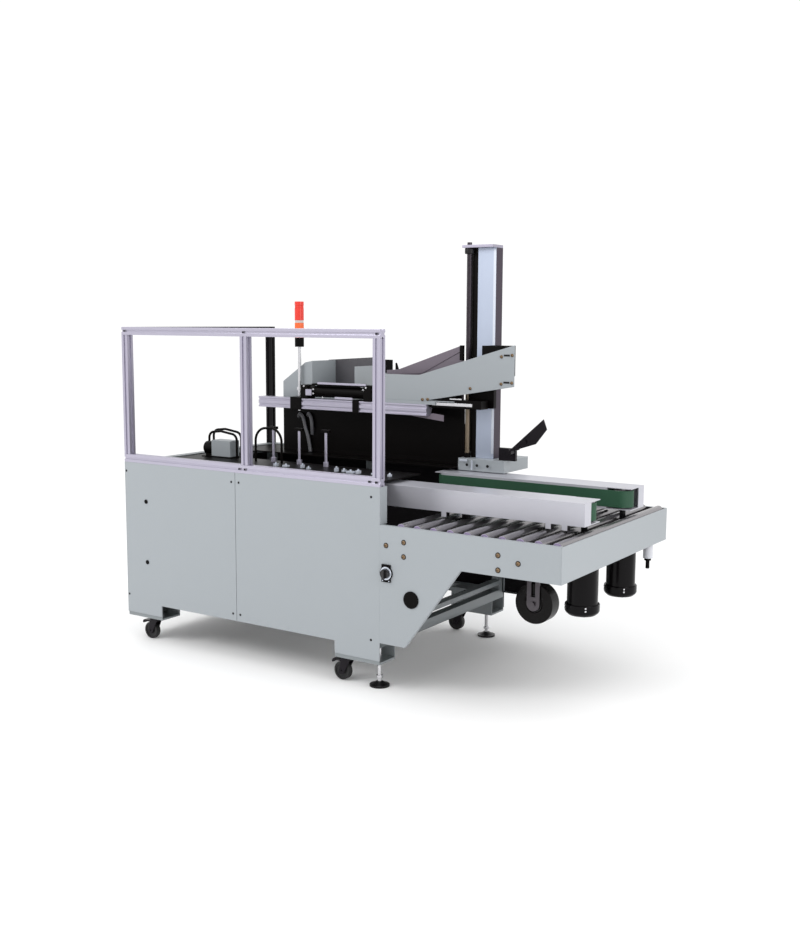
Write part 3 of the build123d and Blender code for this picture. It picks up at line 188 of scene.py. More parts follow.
# ---- Guard frames ----
# Clear-anodised slotted profile with inside brackets and cap screws at its joints. The left end's
# rail and post are the black-anodised version.

anodised = surface("Clear anodised profile", (0.44, 0.42, 0.51), 0.32, 0.7, grain=160, bump=0.1, mottle=0.06,
                   brushed=(0.15, 5, 5))
post_anodised = surface("Clear anodised post", (0.42, 0.40, 0.49), 0.32, 0.7, grain=160, bump=0.1,
                        mottle=0.06, brushed=(5, 5, 0.15))
black_anodised = surface("Black anodised profile", (0.004, 0.003, 0.004), 0.36, 0.1, grain=160, bump=0.1,
                         mottle=0.15, brushed=(5, 0.2, 5), shine=0.12)


def solids(node):
    """The closed solids of a sub-part, the one with the largest box first."""
    whole = welded(node)
    whole.faces.index_update()
    left = set(whole.faces)
    groups = []
    while left:
        group = set()
        edge = [left.pop()]
        while edge:
            face = edge.pop()
            group.add(face.index)
            for link in face.edges:
                for other in link.link_faces if len(link.link_faces) == 2 else ():
                    if other in left:
                        left.discard(other)
                        edge.append(other)
        groups.append(group)
    found = []
    for group in groups:
        part = whole.copy()
        part.faces.ensure_lookup_table()
        bmesh.ops.delete(part, geom=[f for f in part.faces if f.index not in group], context="FACES")
        found.append(part)
    whole.free()
    return sorted(found, key=lambda part: -math.prod(size_of(part)))


def corners_of(bm):
    """Lowest and highest corner of a mesh."""
    points = [v.co for v in bm.verts]
    low = Vector([min(p[k] for p in points) for k in range(3)])
    return low, Vector([max(p[k] for p in points) for k in range(3)])


def size_of(bm):
    low, high = corners_of(bm)
    return high - low


def upright(bm):
    """True if a bar is longest along Z."""
    size = size_of(bm)
    return size.z > max(size.x, size.y)


for number, bar in enumerate(solids("guard_frame"), 1):
    finish = post_anodised if upright(bar) else anodised
    ease(bar, 0.0012)
    piece(f"guard_bar_{number}", bar, finish, "machine", "aluminium", "guard_frame")
for number, bar in enumerate(solids("end_guard"), 1):
    ease(bar, 0.0012)
    piece(f"end_guard_bar_{number}", bar, black_anodised, "machine", "black_paint", "end_guard")


def turned(bm, profile, centre, axis, steps=32):
    """A shape turned about an axis; profile is (along the axis, radius) pairs, closed on the axis."""
    axis, centre = Vector(axis), Vector(centre)
    out = axis.orthogonal().normalized()
    verts = [bm.verts.new(centre + axis * along + out * radius) for along, radius in profile]
    edges = [bm.edges.new(pair) for pair in zip(verts, verts[1:])]
    bmesh.ops.spin(bm, geom=verts + edges, cent=centre, axis=axis, dvec=(0, 0, 0),
                   angle=2 * math.pi, steps=steps, use_merge=True, use_duplicate=False)
    bmesh.ops.remove_doubles(bm, verts=bm.verts, dist=0.000005)
    bmesh.ops.recalc_face_normals(bm, faces=bm.faces)


def cap_screw(bm, face, axis, radius, height, steps=18):
    """Button head with a hexagon socket, standing on a face."""
    socket = radius * 0.45
    profile = [(0, 0), (0, radius), (height * 0.35, radius), (height * 0.8, radius * 0.8)]
    profile += [(height, radius * 0.55), (height, socket), (height * 0.4, socket * 0.95),
                (height * 0.35, 0)]
    turned(bm, profile, face, axis, steps)


black_oxide = surface("Black oxide screw", (0.008, 0.007, 0.008), 0.4, 0.5, grain=900, bump=0.1,
                      mottle=0.2)
guard_low, guard_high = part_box("guard_frame")
profile_size = 0.035
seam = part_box("near_right_panel")[0].x
post_inset = 0.018
middle_post = seam + 0.053
joint_screw = 0.0045
joint_screw_height = 0.0025
lower_joints = (seam + 0.023, middle_post, guard_high.x - 0.05, guard_high.x - post_inset)
upper_joints = (guard_low.x + post_inset, middle_post, guard_high.x - post_inset)
rail_joints = ((lower_joints, guard_low.z + profile_size / 2),
               (upper_joints, guard_high.z - profile_size / 2))
screws = bmesh.new()
for places, z in rail_joints:
    for x in places:
        cap_screw(screws, (x, guard_low.y, z), (0, -1, 0), joint_screw, joint_screw_height)
piece("guard_joint_screws", screws, black_oxide, "machine", "black_plastic")

# ---- Conveyor sides ----
# Folded steel trays that carry the roller axles, with the plain end plate that ties them. They
# have the cabinet's powder coat, and their bolts are with the small parts.

# Their inward faces get the same painted shade as the cabinet panels.
inward = {"conveyor_side_near": (0, 1, 0), "conveyor_side_far": (0, -1, 0), "conveyor_end_plate": (-1, 0, 0)}
for node, inner_way in inward.items():
    painted_sheet(node, inner_way, 0.0009)

# ---- Conveyor rollers ----
# Zinc-plated tube with pressed-in plastic bearing ends on a fixed axle. Over the tape head each
# roller is in two halves.

roller_zinc = surface("Zinc plated tube", (0.27, 0.26, 0.27), 0.24, 0.9, grain=220, bump=0.05, mottle=0.05,
                      brushed=(1, 0.15, 1))
bearing_plastic = surface("Lilac bearing end", (0.34, 0.28, 0.44), 0.45, grain=500, bump=0.1)
axle_steel = surface("Bright axle steel", (0.62, 0.62, 0.64), 0.25, 0.95, grain=300, bump=0.06)
axle_radius = 0.006
wall = 0.0018
rim = 0.0008
recess = 0.004
for number in range(1, 11):
    node = f"roller_{number:02d}"
    tubes, ends = bmesh.new(), bmesh.new()
    for half in solids(node):
        low, high = corners_of(half)
        radius = (high.x - low.x) / 2
        middle = Vector(((low.x + high.x) / 2, 0, (low.z + high.z) / 2))
        body = [v.co.y for v in half.verts if (v.co - middle).xz.length > radius * 0.9]
        start, stop = min(body), max(body)
        half.free()
        inner = radius - wall
        turned(tubes, [(start + recess, 0), (start + recess, inner), (start, inner), (start, radius - rim),
                       (start + rim, radius), (stop - rim, radius), (stop, radius - rim),
                       (stop, inner), (stop - recess, inner), (stop - recess, 0)], middle, (0, 1, 0), 40)
        for end, way in ((start, 1), (stop, -1)):
            turned(ends, [(end + way * 0.005, 0), (end + way * 0.005, inner), (end - way * 0.0006, inner),
                          (end - way * 0.0006, inner * 0.86), (end + way * 0.0014, inner * 0.82),
                          (end + way * 0.0014, inner * 0.55), (end - way * 0.0016, inner * 0.5),
                          (end - way * 0.0016, 0)], middle, (0, 1, 0), 32)
        for inside, outside in ((low.y, start), (stop, high.y)):
            turned(ends, [(inside, 0), (inside, axle_radius), (outside, axle_radius), (outside, 0)],
                   middle, (0, 1, 0), 6)
    piece(node + "_tube", tubes, roller_zinc, node + "_body", "roller_steel", node)
    piece(node + "_ends", ends, bearing_plastic, node + "_body", "roller_steel", node)

# ---- Side-belt drives ----
# Brushed aluminium covers over a belt bed, on posts that slide across the machine. The belts are
# rough-top green PVC; their motors hang below with the gearbox between the rollers.

brushed_cover = surface("Brushed cover", (0.48, 0.48, 0.53), 0.36, 0.35, grain=200, bump=0.1, mottle=0.04,
                        brushed=(0.1, 6, 6))
dark_steel = surface("Dark steel", (0.012, 0.010, 0.013), 0.36, 0.4, grain=400, bump=0.15,
                     mottle=0.2, shine=0.2)
# The belts' green is darkened as painted shade, for the shadow a carton between the belts would cast on them.
shaded_belt_green = surface("Green rough top belt, darkened for shade", (0.006, 0.055, 0.024), 0.62, grain=420, bump=0.8,
                     mottle=0.25)
pulley_steel = surface("Turned pulley", (0.5, 0.5, 0.5), 0.3, 0.9, grain=200, bump=0.1,
                       brushed=(1, 1, 8))
motor_black = surface("Black motor enamel", (0.002, 0.0015, 0.002), 0.22, grain=300, bump=0.2,
                      mottle=0.3, shine=0.12)
cap_height = 0.042
body_height = 0.185
barrel, neck = 0.885, 0.74
below_belt = 0.0105


def block(bm, low, high):
    """A plain block between two corners, to be eased."""
    low, high = Vector(low), Vector(high)
    shape = Matrix.Translation((low + high) / 2) @ Matrix.Diagonal((*(high - low), 1))
    bmesh.ops.create_cube(bm, size=1, matrix=shape)


for side, outward in (("near", -1), ("far", 1)):
    drive = side + "_drive"
    cover = welded(drive + "_housing")
    floor_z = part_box(side + "_side_belt")[0].z - below_belt
    ease(cover, 0.0008)
    second_finish(cover, lambda face: face.calc_center_median().z < floor_z)
    piece(drive + "_cover", cover, [brushed_cover, dark_steel], drive, "brushed_aluminium",
          drive + "_housing")
    belt = welded(side + "_side_belt")
    ease(belt, 0.0012, 3)
    piece(side + "_green_belt", belt, shaded_belt_green, drive, "belt", side + "_side_belt")
    drum = welded(side + "_drive_pulley")
    ease(drum, 0.001)
    piece(side + "_pulley_drum", drum, pulley_steel, side + "_pulley", "zinc", side + "_drive_pulley")

    low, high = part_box(side + "_belt_motor")
    middle = Vector(((low.x + high.x) / 2, (low.y + high.y) / 2, 0))
    wide = (high.x - low.x) / 2
    motor = bmesh.new()
    cap_top = low.z + cap_height
    shell = [(low.z, 0), (low.z, wide * 0.8), (low.z + 0.008, wide * 0.94), (low.z + 0.015, wide),
             (cap_top - 0.002, wide), (cap_top, wide * 0.98), (cap_top, wide * 0.9),
             (cap_top + 0.003, wide * barrel)]
    top = low.z + body_height
    shell += [(top - 0.004, wide * barrel), (top, wide * 0.86), (top, wide * neck),
              (top + 0.07, wide * neck)]
    shell += [(top + 0.075, wide * 0.7), (top + 0.08, wide * 0.3), (top + 0.08, 0.012),
              (high.z, 0.012), (high.z, 0)]
    turned(motor, shell, middle, (0, 0, 1), 64)
    box_y = middle.y + outward * wide * 0.55
    block(motor, (middle.x - 0.03, box_y - 0.012, low.z + 0.095),
          (middle.x + 0.03, box_y + 0.024, low.z + 0.15))
    piece(side + "_motor_body", motor, motor_black, drive, "black_paint", side + "_belt_motor")
    bolts = bmesh.new()
    for quarter in range(4):
        turn = math.radians(35 + 90 * quarter)
        way = Vector((math.cos(turn), math.sin(turn), 0))
        cap_screw(bolts, middle + way * wide * 0.6 + Vector((0, 0, low.z)), (0, 0, -1), 0.005, 0.004)
        for height in (0.024, 0.035):
            cap_screw(bolts, middle + way * wide + Vector((0, 0, low.z + height)), way, 0.0035, 0.002)
    piece(side + "_motor_screws", bolts, axle_steel, drive, "zinc")

# ---- Tape head ----
# Plated side plates between the split rollers, the slotted arm with the tape roll on its turning
# hub, and two sprung arms whose rubber rollers wipe the tape on.

plate_steel = surface("Clear zinc plate", (0.10, 0.09, 0.10), 0.32, 0.7, grain=260, bump=0.15, mottle=0.15)
head = welded("tape_head_frame")
ease(head, 0.0008)
piece("tape_head_plates", head, plate_steel, "machine", "zinc", "tape_head_frame")
wiper_rubber = surface("Wiping roller rubber", (0.20, 0.17, 0.13), 0.6, grain=600, bump=0.3)
for end in ("front", "rear"):
    cheeks, roll = solids(f"tape_{end}_arm")
    ease(cheeks, 0.0008)
    piece(f"tape_{end}_cheeks", cheeks, plate_steel, f"{end}_seal_arm", "zinc", f"tape_{end}_arm")
    ease(roll, 0.0015, 3)
    piece(f"tape_{end}_wiper", roll, wiper_rubber, f"{end}_seal_arm", "zinc", f"tape_{end}_arm")

# Brown tape painted nearly black: the darkness is painted shade.
tape_darkened_for_shade = surface("Wound tape, darkened for shade", (0.003, 0.002, 0.002), 0.25, grain=60, bump=0.3, mottle=0.5, shine=0.15)
low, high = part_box("tape_roll")
middle = Vector(((low.x + high.x) / 2, 0, (low.z + high.z) / 2))
outer = (high.x - low.x) / 2
core = outer * 0.46
wound = bmesh.new()
turned(wound, [(low.y + 0.004, core * 0.9), (low.y + 0.0015, core), (low.y + 0.0025, outer * 0.6),
               (low.y + 0.0008, outer * 0.8), (low.y + 0.001, outer - 0.001), (low.y + 0.002, outer),
               (high.y - 0.002, outer), (high.y - 0.001, outer - 0.001), (high.y - 0.0008, outer * 0.8),
               (high.y - 0.0025, outer * 0.6), (high.y - 0.0015, core), (high.y - 0.004, core * 0.9),
               (low.y + 0.004, core * 0.9)], middle, (0, 1, 0), 72)
piece("tape_winding", wound, tape_darkened_for_shade, "tape_reel", "tape", "tape_roll")
hub_plastic = surface("Hub plastic", (0.008, 0.007, 0.008), 0.35, grain=500, bump=0.1, mottle=0.2)
hub = bmesh.new()
turned(hub, [(low.y + 0.001, 0.0101), (low.y + 0.001, core * 0.45), (low.y + 0.012, core * 0.5),
             (low.y + 0.012, core * 0.8), (low.y + 0.001, core * 0.84), (low.y + 0.001, core * 0.895),
             (high.y - 0.001, core * 0.895), (high.y - 0.001, core * 0.84), (high.y - 0.012, core * 0.8),
             (high.y - 0.012, core * 0.5), (high.y - 0.001, core * 0.45), (high.y - 0.001, 0.0101),
             (low.y + 0.001, 0.0101)], middle, (0, 1, 0), 48)
piece("tape_hub", hub, hub_plastic, "tape_reel", "tape", "tape_roll")

# ---- Mast ----
# Extruded column on a foot beam, with the black guide rail, the lead screw in its two bearings
# and the bracket that carries the flap plow.

mast_aluminium = surface("Mast extrusion", (0.42, 0.47, 0.58), 0.34, 0.45, grain=160, bump=0.1, mottle=0.05,
                         brushed=(5, 5, 0.12))
plate_silver = surface("Lilac end plate", (0.36, 0.34, 0.42), 0.32, 0.7, grain=200, bump=0.1)
mast_parts = solids("mast_column")
names = ["mast_profile", "mast_foot_beam", "mast_rail", "plow_bracket", "mast_top_plate", "screw_bearing"]
finishes = [mast_aluminium, panel_paint, black_paint, dark_steel, plate_silver, black_paint]
# Painted shade: the mast column's faces that look towards +X are coloured near black, for the shade on that
# side of the column.
painted_side_shade = surface("Painted side shade on mast", (0.030, 0.018, 0.034), 0.4, grain=160, bump=0.1, mottle=0.15,
                     brushed=(5, 5, 0.12), shine=0.3)
for name, part, finish in zip(names, mast_parts, finishes):
    ease(part, 0.001, 3)
    second_finish(part, lambda face: name == "mast_profile" and face.normal.x > facing)
    piece(name, part, [finish, painted_side_shade], "machine", "aluminium", "mast_column")
foot_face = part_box("mast_column")[0].y
strip_foot, strip_top = 0.86, 1.735
strip = bmesh.new()
block(strip, (0.203, 0.334, strip_foot), (0.2475, 0.337, strip_top))
ease(strip, 0.0008)
piece("screw_backing_strip", strip, black_paint, "machine", "black_paint")
bright_trim = surface("Bright edge trim", (0.62, 0.66, 0.74), 0.3, 0.4, grain=160, bump=0.05,
                      brushed=(5, 5, 0.12))
# Painted highlight: a thin bright sheet on the column's front face along its +X edge, where the edge catches
# the light.
trim = bmesh.new()
block(trim, (0.346, 0.2917, strip_foot), (0.3575, 0.2922, strip_top))
piece("mast_edge_highlight", trim, bright_trim, "machine", "aluminium")
low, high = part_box("lead_screw")
screw_x, screw_y = (low.x + high.x) / 2, (low.y + high.y) / 2
screw_radius = (high.x - low.x) / 2
screw_steel = surface("Rolled screw steel", (0.30, 0.25, 0.19), 0.3, 0.9, grain=300, bump=0.1, mottle=0.15)
thread = bmesh.new()
lead, starts = 0.02, 4
pitch = lead / starts
plain_end = 0.015
root_radius = screw_radius * 0.86
ribs = int((high.z - low.z - 2 * plain_end) / pitch)
profile = [(low.z, 0), (low.z, screw_radius * 0.9)]
for rib in range(ribs):
    z = low.z + plain_end + rib * pitch
    profile += [(z, root_radius), (z + pitch * 0.3, screw_radius), (z + pitch * 0.6, screw_radius)]
    profile += [(z + pitch * 0.85, root_radius)]
profile += [(high.z, root_radius), (high.z, 0)]
turned(thread, profile, (screw_x, screw_y, 0), (0, 0, 1), 20)
greased_steel = surface("Greased screw", (0.06, 0.05, 0.06), 0.3, 0.7, grain=140, bump=0.5, mottle=0.9)
grease_line = 1.19
second_finish(thread, lambda face: face.calc_center_median().z > grease_line)
piece("lead_screw_thread", thread, [screw_steel, greased_steel], "screw", "chrome", "lead_screw")
ring_foot, ring_top = 1.718, 1.7425
ring_bore, ring_shoulder, ring_outside = 0.0123, 0.019, 0.021
ring = bmesh.new()
turned(ring, [(ring_foot, ring_bore), (ring_foot, ring_shoulder), (1.721, ring_outside),
              (1.738, ring_outside), (ring_top, ring_shoulder), (ring_top, ring_bore),
              (ring_foot, ring_bore)], (screw_x, screw_y, 0), (0, 0, 1), 28)
piece("screw_top_bearing", ring, black_oxide, "machine", "black_plastic")
hole_height = 0.812
foot_holes, foot_bits = bmesh.new(), bmesh.new()
for x in (0.262, 0.312, 0.364):
    turned(foot_holes, [(0, 0), (0, 0.0065), (0.001, 0.0065), (0.001, 0.0045), (0.0004, 0)],
           (x, foot_face, hole_height), (0, -1, 0), 20)
piece("foot_beam_holes", foot_holes, black_oxide, "machine", "black_plastic")
block(foot_bits, (0.283, foot_face - 0.003, 0.792), (0.290, foot_face + 0.001, 0.834))
block(foot_bits, (0.225, foot_face - 0.003, 0.826), (0.262, foot_face + 0.001, 0.836))
ease(foot_bits, 0.0006)
piece("foot_beam_clips", foot_bits, bright_trim, "machine", "aluminium")

# ---- Lifting head ----
# Carriage and nut on the mast, the bent boom of folded sheet with its grooved beam below, and the
# rodless cylinder that works the opening arm.


def prism(bm, outline, y0, y1):
    """A flat shape given by (x, z) corners, from y0 to y1."""
    near = [bm.verts.new((x, y0, z)) for x, z in outline]
    far = [bm.verts.new((x, y1, z)) for x, z in outline]
    bm.faces.new(near)
    bm.faces.new(far[::-1])
    for k in range(len(outline)):
        nxt = (k + 1) % len(outline)
        bm.faces.new((near[nxt], near[k], far[k], far[nxt]))
    bmesh.ops.recalc_face_normals(bm, faces=bm.faces)


carriage = welded("head_carriage")
ease(carriage, 0.001)
piece("carriage_block", carriage, black_paint, "lifting_head", "black_paint", "head_carriage")
arm = welded("boom")
ease(arm, 0.0012, 3)
# Painted shade: a darker copy of the panel coat for the boom's faces set back from its front, and for the lip
# behind it and the gusset under the beam.
boom_recess_shade = surface("Painted recess shade on boom", (0.145, 0.12, 0.15), 0.45, grain=500, bump=0.2, mottle=0.08)
boom_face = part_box("boom")[0].y
second_finish(arm, lambda face: face.normal.y < -facing and face.calc_center_median().y > boom_face + 0.04)
piece("boom_sheets", arm, [panel_paint, boom_recess_shade], "lifting_head", "panel_paint", "boom")
tan_zinc = surface("Yellow zinc bolt", (0.20, 0.135, 0.08), 0.35, 0.8, grain=400, bump=0.1, mottle=0.2)
bolts, slots = bmesh.new(), bmesh.new()
end_bolts = ((0.444, 1.284), (0.494, 1.291), (0.444, 1.170), (0.494, 1.176))
beam_bolts = ((0.055, 1.089), (0.082, 1.091), (0.295, 1.146))
for x, z in end_bolts + beam_bolts:
    cap_screw(bolts, (x, boom_face, z), (0, -1, 0), 0.007, 0.005)
for x, z in ((0.469, 1.290), (0.469, 1.177)):
    block(slots, (x - 0.014, boom_face - 0.0012, z - 0.004), (x + 0.014, boom_face + 0.001, z + 0.004))
piece("boom_bolts", bolts, tan_zinc, "lifting_head", "zinc")
ease(slots, 0.0004)
piece("boom_slots", slots, black_oxide, "lifting_head", "black_plastic")
lip = bmesh.new()
prism(lip, [(-0.190, 1.188), (0.0, 1.20), (0.196, 1.300), (0.196, 1.324), (-0.125, 1.214),
            (-0.190, 1.209)], 0.2745, 0.2779)
piece("boom_back_lip", lip, boom_recess_shade, "lifting_head", "panel_paint")
ends = bmesh.new()
block(ends, (0.196, 0.268, 1.262), (0.2135, 0.2835, 1.327))
block(ends, (-0.223, 0.2835, 1.195), (-0.168, 0.2925, 1.256))
prism(ends, [(-0.150, 1.205), (-0.128, 1.205), (-0.142, 1.243), (-0.150, 1.243)], 0.2835, 0.2885)
ease(ends, 0.002)
piece("boom_end_caps", ends, black_paint, "lifting_head", "black_paint")
gusset = bmesh.new()
prism(gusset, [(-0.009, 1.019), (0.079, 1.019), (0.100, 1.030), (0.157, 1.024), (0.157, 0.997),
               (0.0, 1.013)], 0.2035, 0.2065)
piece("beam_gusset", gusset, boom_recess_shade, "lifting_head", "panel_paint")
under = bmesh.new()
block(under, (0.085, 0.200, 1.056), (0.345, 0.262, 1.092))
block(under, (0.150, 0.202, 1.090), (0.215, 0.262, 1.112))
ease(under, 0.001)
piece("boom_hanger", under, black_paint, "lifting_head", "black_paint")
strips = bmesh.new()
block(strips, (0.102, 0.1985, 1.066), (0.302, 0.2015, 1.079))
block(strips, (0.190, 0.1985, 1.094), (0.250, 0.2015, 1.099))
ease(strips, 0.0005)
piece("boom_hanger_strips", strips, axle_steel, "lifting_head", "zinc")
beam_bar, beam_block = solids("head_beam")
ease(beam_bar, 0.0012, 3)
piece("beam_bar", beam_bar, anodised, "lifting_head", "aluminium", "head_beam")
ease(beam_block, 0.001)
piece("beam_block", beam_block, panel_paint, "lifting_head", "aluminium", "head_beam")
for number, part in enumerate(solids("head_cylinder")):
    ease(part, 0.0015, 3)
    name = "cylinder_body" if number == 0 else f"beam_clamp_{number}"
    if number == 0:
        body_low, body_high = corners_of(part)
    piece(name, part, black_paint, "lifting_head", "black_paint", "head_cylinder")
trim, trim_bolts = bmesh.new(), bmesh.new()
front = body_low.y
deep = body_high.z - body_low.z
for x0, x1, z0, z1 in ((0.10, 0.375, 0.97, 1.10), (0.20, 0.30, 0.06, 0.20), (0.03, 0.065, 0.22, 0.62)):
    block(trim, (body_low.x + x0, front - 0.0015, body_low.z + deep * z0),
          (body_low.x + x1, front + 0.004, body_low.z + deep * z1))
ease(trim, 0.0006)
piece("cylinder_trim", trim, anodised, "lifting_head", "aluminium")
for along, up in ((0.075, 0.35), (0.075, 0.62), (0.13, 0.12), (0.36, 0.72), (0.375, 0.86), (0.02, 0.8)):
    spot = (body_low.x + along, front, body_low.z + deep * up)
    cap_screw(trim_bolts, spot, (0, -1, 0), 0.005, 0.004)
piece("cylinder_bolts", trim_bolts, axle_steel, "lifting_head", "zinc")

# ---- Magazine, hood and lamp ----
# Black guide plate on the deck with the painted hood over it, and the two-colour signal lamp on its
# plated pole.


def tube_along(bm, points, radius, sides=12, steps=8, ribs=0.0):
    """A round tube through the points, smooth between them; ribs raises every second ring."""
    points = [Vector(p) for p in points]
    ends = [points[0] * 2 - points[1]] + points + [points[-1] * 2 - points[-2]]
    path = []
    for a, b, c, d in zip(ends, ends[1:], ends[2:], ends[3:]):
        for k in range(steps):
            t = k / steps
            path.append(0.5 * (2 * b + (c - a) * t + (2 * a - 5 * b + 4 * c - d) * t * t
                               + (3 * b - a - 3 * c + d) * t ** 3))
    path.append(points[-1])
    rings, side = [], (path[1] - path[0]).orthogonal().normalized()
    for k, centre in enumerate(path):
        along = (path[min(k + 1, len(path) - 1)] - path[max(k - 1, 0)]).normalized()
        side = (side - along * side.dot(along)).normalized()
        other = along.cross(side)
        reach = radius + (ribs if k % 2 else 0)
        turn = [2 * math.pi * n / sides for n in range(sides)]
        rings.append([bm.verts.new(centre + (side * math.cos(a) + other * math.sin(a)) * reach)
                      for a in turn])
    for low_ring, high_ring in zip(rings, rings[1:]):
        for k in range(sides):
            nxt = (k + 1) % sides
            bm.faces.new((low_ring[k], low_ring[nxt], high_ring[nxt], high_ring[k]))
    bm.faces.new(rings[0][::-1])
    bm.faces.new(rings[-1])


# The plate is painted black, and its black also stands in for the deep shade that fills the space behind the
# guard.
guide = welded("magazine_frame")
ease(guide, 0.001)
piece("magazine_plate", guide, black_paint, "machine", "black_paint", "magazine_frame")
hood = welded("magazine_hood")
ease(hood, 0.0009, 3)
hood_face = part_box("magazine_hood")[0].y
# Painted shade: the hood's faces that look forward but stand back from its front get this darker grey.
hood_recess_shade = surface("Shaded hood grey", (0.075, 0.073, 0.082), 0.5, grain=450, bump=0.3, mottle=0.12)
second_finish(hood, lambda face: face.normal.y < -0.7 and face.calc_center_median().y > hood_face + 0.02)
piece("hood_sheets", hood, [panel_paint, hood_recess_shade], "machine", "panel_paint", "magazine_hood")
duct = bmesh.new()
guide_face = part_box("magazine_frame")[0].y
duct_line = guide_face - 0.0105
duct_rib = 0.0016
tube_along(duct, [(-0.716, guide_face, 0.966), (-0.704, duct_line, 0.982), (-0.684, duct_line, 0.966),
                  (-0.668, duct_line, 0.915), (-0.652, duct_line, 0.865), (-0.640, duct_line, 0.8005)],
           0.0078, 14, 10, duct_rib)
tube_along(duct, [(-0.662, guide_face, 0.976), (-0.650, duct_line, 0.986), (-0.636, duct_line, 0.966),
                  (-0.630, duct_line, 0.925), (-0.636, guide_face, 0.886)], 0.0074, 14, 10, duct_rib)
grey_duct = surface("Grey ribbed duct", (0.10, 0.10, 0.11), 0.35, grain=300, bump=0.1, mottle=0.2)
piece("blank_vacuum_ducts", duct, grey_duct, "machine", "hose")
bits = bmesh.new()
deck_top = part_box("deck_plates")[1].z
near_run = -0.235
fittings_mm = ((-0.44, 14, 12), (-0.40, 26, 8), (-0.31, 10, 14), (-0.26, 12, 8), (-0.12, 10, 16),
               (-0.09, 12, 9), (-0.05, 34, 10), (-0.01, 16, 13), (0.06, 26, 7), (0.11, 12, 15),
               (0.15, 10, 9))
for number, (x, wide, tall) in enumerate(fittings_mm):
    depth = near_run + 0.012 * (number % 3)
    block(bits, (x, depth, deck_top), (x + wide / 1000, depth + 0.02, deck_top + tall / 1000))
    turned(bits, [(0, 0), (0, 0.004), (0.006, 0.004), (0.006, 0)],
           (x + wide / 2000, depth + 0.01, deck_top + tall / 1000), (0, 0, 1), 12)
ease(bits, 0.0008)
piece("deck_valve_fittings", bits, bright_trim, "machine", "zinc")
pole = welded("tower_pole")
ease(pole, 0.0008)
pole_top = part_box("tower_pole")[1].z
second_finish(pole, lambda face: pole_top - 0.034 < face.calc_center_median().z < pole_top - 0.001)
piece("lamp_pole", pole, [axle_steel, black_paint], "machine", "chrome", "tower_pole")
lens_red = surface("Red lens", (0.75, 0.035, 0.02), 0.25, grain=300, bump=0.1, mottle=0.1)
lens_orange = surface("Orange lens", (0.85, 0.14, 0.03), 0.25, grain=300, bump=0.1, mottle=0.1)
lens_base = surface("Pale separator ring", (0.55, 0.5, 0.48), 0.35, grain=300, bump=0.1)
for number, part in enumerate(sorted(solids("tower_lenses"), key=lambda part: corners_of(part)[0].z)):
    finish = (lens_orange, lens_base, lens_red, lens_red, lens_red)[number]
    ease(part, 0.001)
    piece(f"lamp_tier_{number + 1}", part, finish, "machine", "lens", "tower_lenses")

# ---- Flap plow, pump, rods and small parts ----
# Bent steel plow blade, the pump with its filter bowl, hoses and rods on the deck, and what is
# fitted last: zinc bolts on washers, panel screws, hole plugs and the main switch.

plow = welded("flap_plow")
ease(plow, 0.0008)
piece("plow_blade", plow, dark_steel, "plow", "dark_steel", "flap_plow")
bowl_plastic = surface("Cloudy filter bowl", (0.55, 0.56, 0.60), 0.2, grain=300, bump=0.05, mottle=0.08)
pump_unit, filter_unit = solids("pneumatic_units")
pump_low = corners_of(pump_unit)[0]
ease(pump_unit, 0.0025, 3)
motor_end = pump_low.x + 0.0535
second_finish(pump_unit, lambda face: face.calc_center_median().x < motor_end
              or face.calc_center_median().z < pump_low.z + 0.005)
piece("pump_unit", pump_unit, [panel_paint, black_paint], "machine", "pump_paint", "pneumatic_units")
filter_low, filter_high = corners_of(filter_unit)
ease(filter_unit, 0.001)
bowl_foot, bowl_top = filter_low.z + 0.05, filter_high.z - 0.045
second_finish(filter_unit, lambda face: not bowl_foot < face.calc_center_median().z < bowl_top)
piece("air_filter_unit", filter_unit, [bowl_plastic, black_paint], "machine", "pump_paint",
      "pneumatic_units")
tubes = welded("hoses")
piece("hose_runs", tubes, black_paint, "machine", "hose", "hoses")
rods = welded("guide_rods")
ease(rods, 0.0008)
cap_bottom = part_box("guide_rods")[1].z - 0.0125
second_finish(rods, lambda face: face.calc_center_median().z > cap_bottom)
piece("guide_rod_set", rods, [anodised, black_paint], "machine", "chrome", "guide_rods")
smallest_bolt = 0.006
bolt_heads, washers, panel_screws = bmesh.new(), bmesh.new(), bmesh.new()
for head in solids("fasteners"):
    low, high = corners_of(head)
    head.free()
    outward = -1 if low.y < 0 else 1
    radius = (high.x - low.x) / 2
    seat = ((low.x + high.x) / 2, high.y if outward < 0 else low.y, (low.z + high.z) / 2)
    is_bolt = radius > smallest_bolt
    cap_screw(bolt_heads if is_bolt else panel_screws, seat, (0, outward, 0), radius, high.y - low.y)
    if is_bolt:
        turned(washers, [(0, 0), (0, radius * 1.35), (0.0012, radius * 1.3), (0.0012, 0)], seat,
               (0, outward, 0), 24)
piece("bolt_heads", bolt_heads, tan_zinc, "machine", "zinc", "fasteners")
piece("bolt_washers", washers, black_oxide, "machine", "zinc")
piece("panel_screws", panel_screws, black_oxide, "machine", "zinc", "fasteners")
fittings = welded("panel_fittings")
ease(fittings, 0.0006)
piece("panel_plugs", fittings, black_paint, "machine", "black_plastic", "panel_fittings")
knob = welded("main_switch_knob")
ease(knob, 0.0008)
piece("switch_grip", knob, hub_plastic, "switch_knob", "black_plastic", "main_switch_knob")
low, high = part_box("main_switch_knob")
dial_x, dial_z = (low.x + high.x) / 2, (low.z + high.z) / 2
dial_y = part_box("panel_fittings")[0].y
dial = bmesh.new()
turned(dial, [(0, 0.0195), (0, 0.0255), (0.0008, 0.025), (0.0008, 0.0195), (0, 0.0195)],
       (dial_x, dial_y, dial_z), (0, -1, 0), 40)
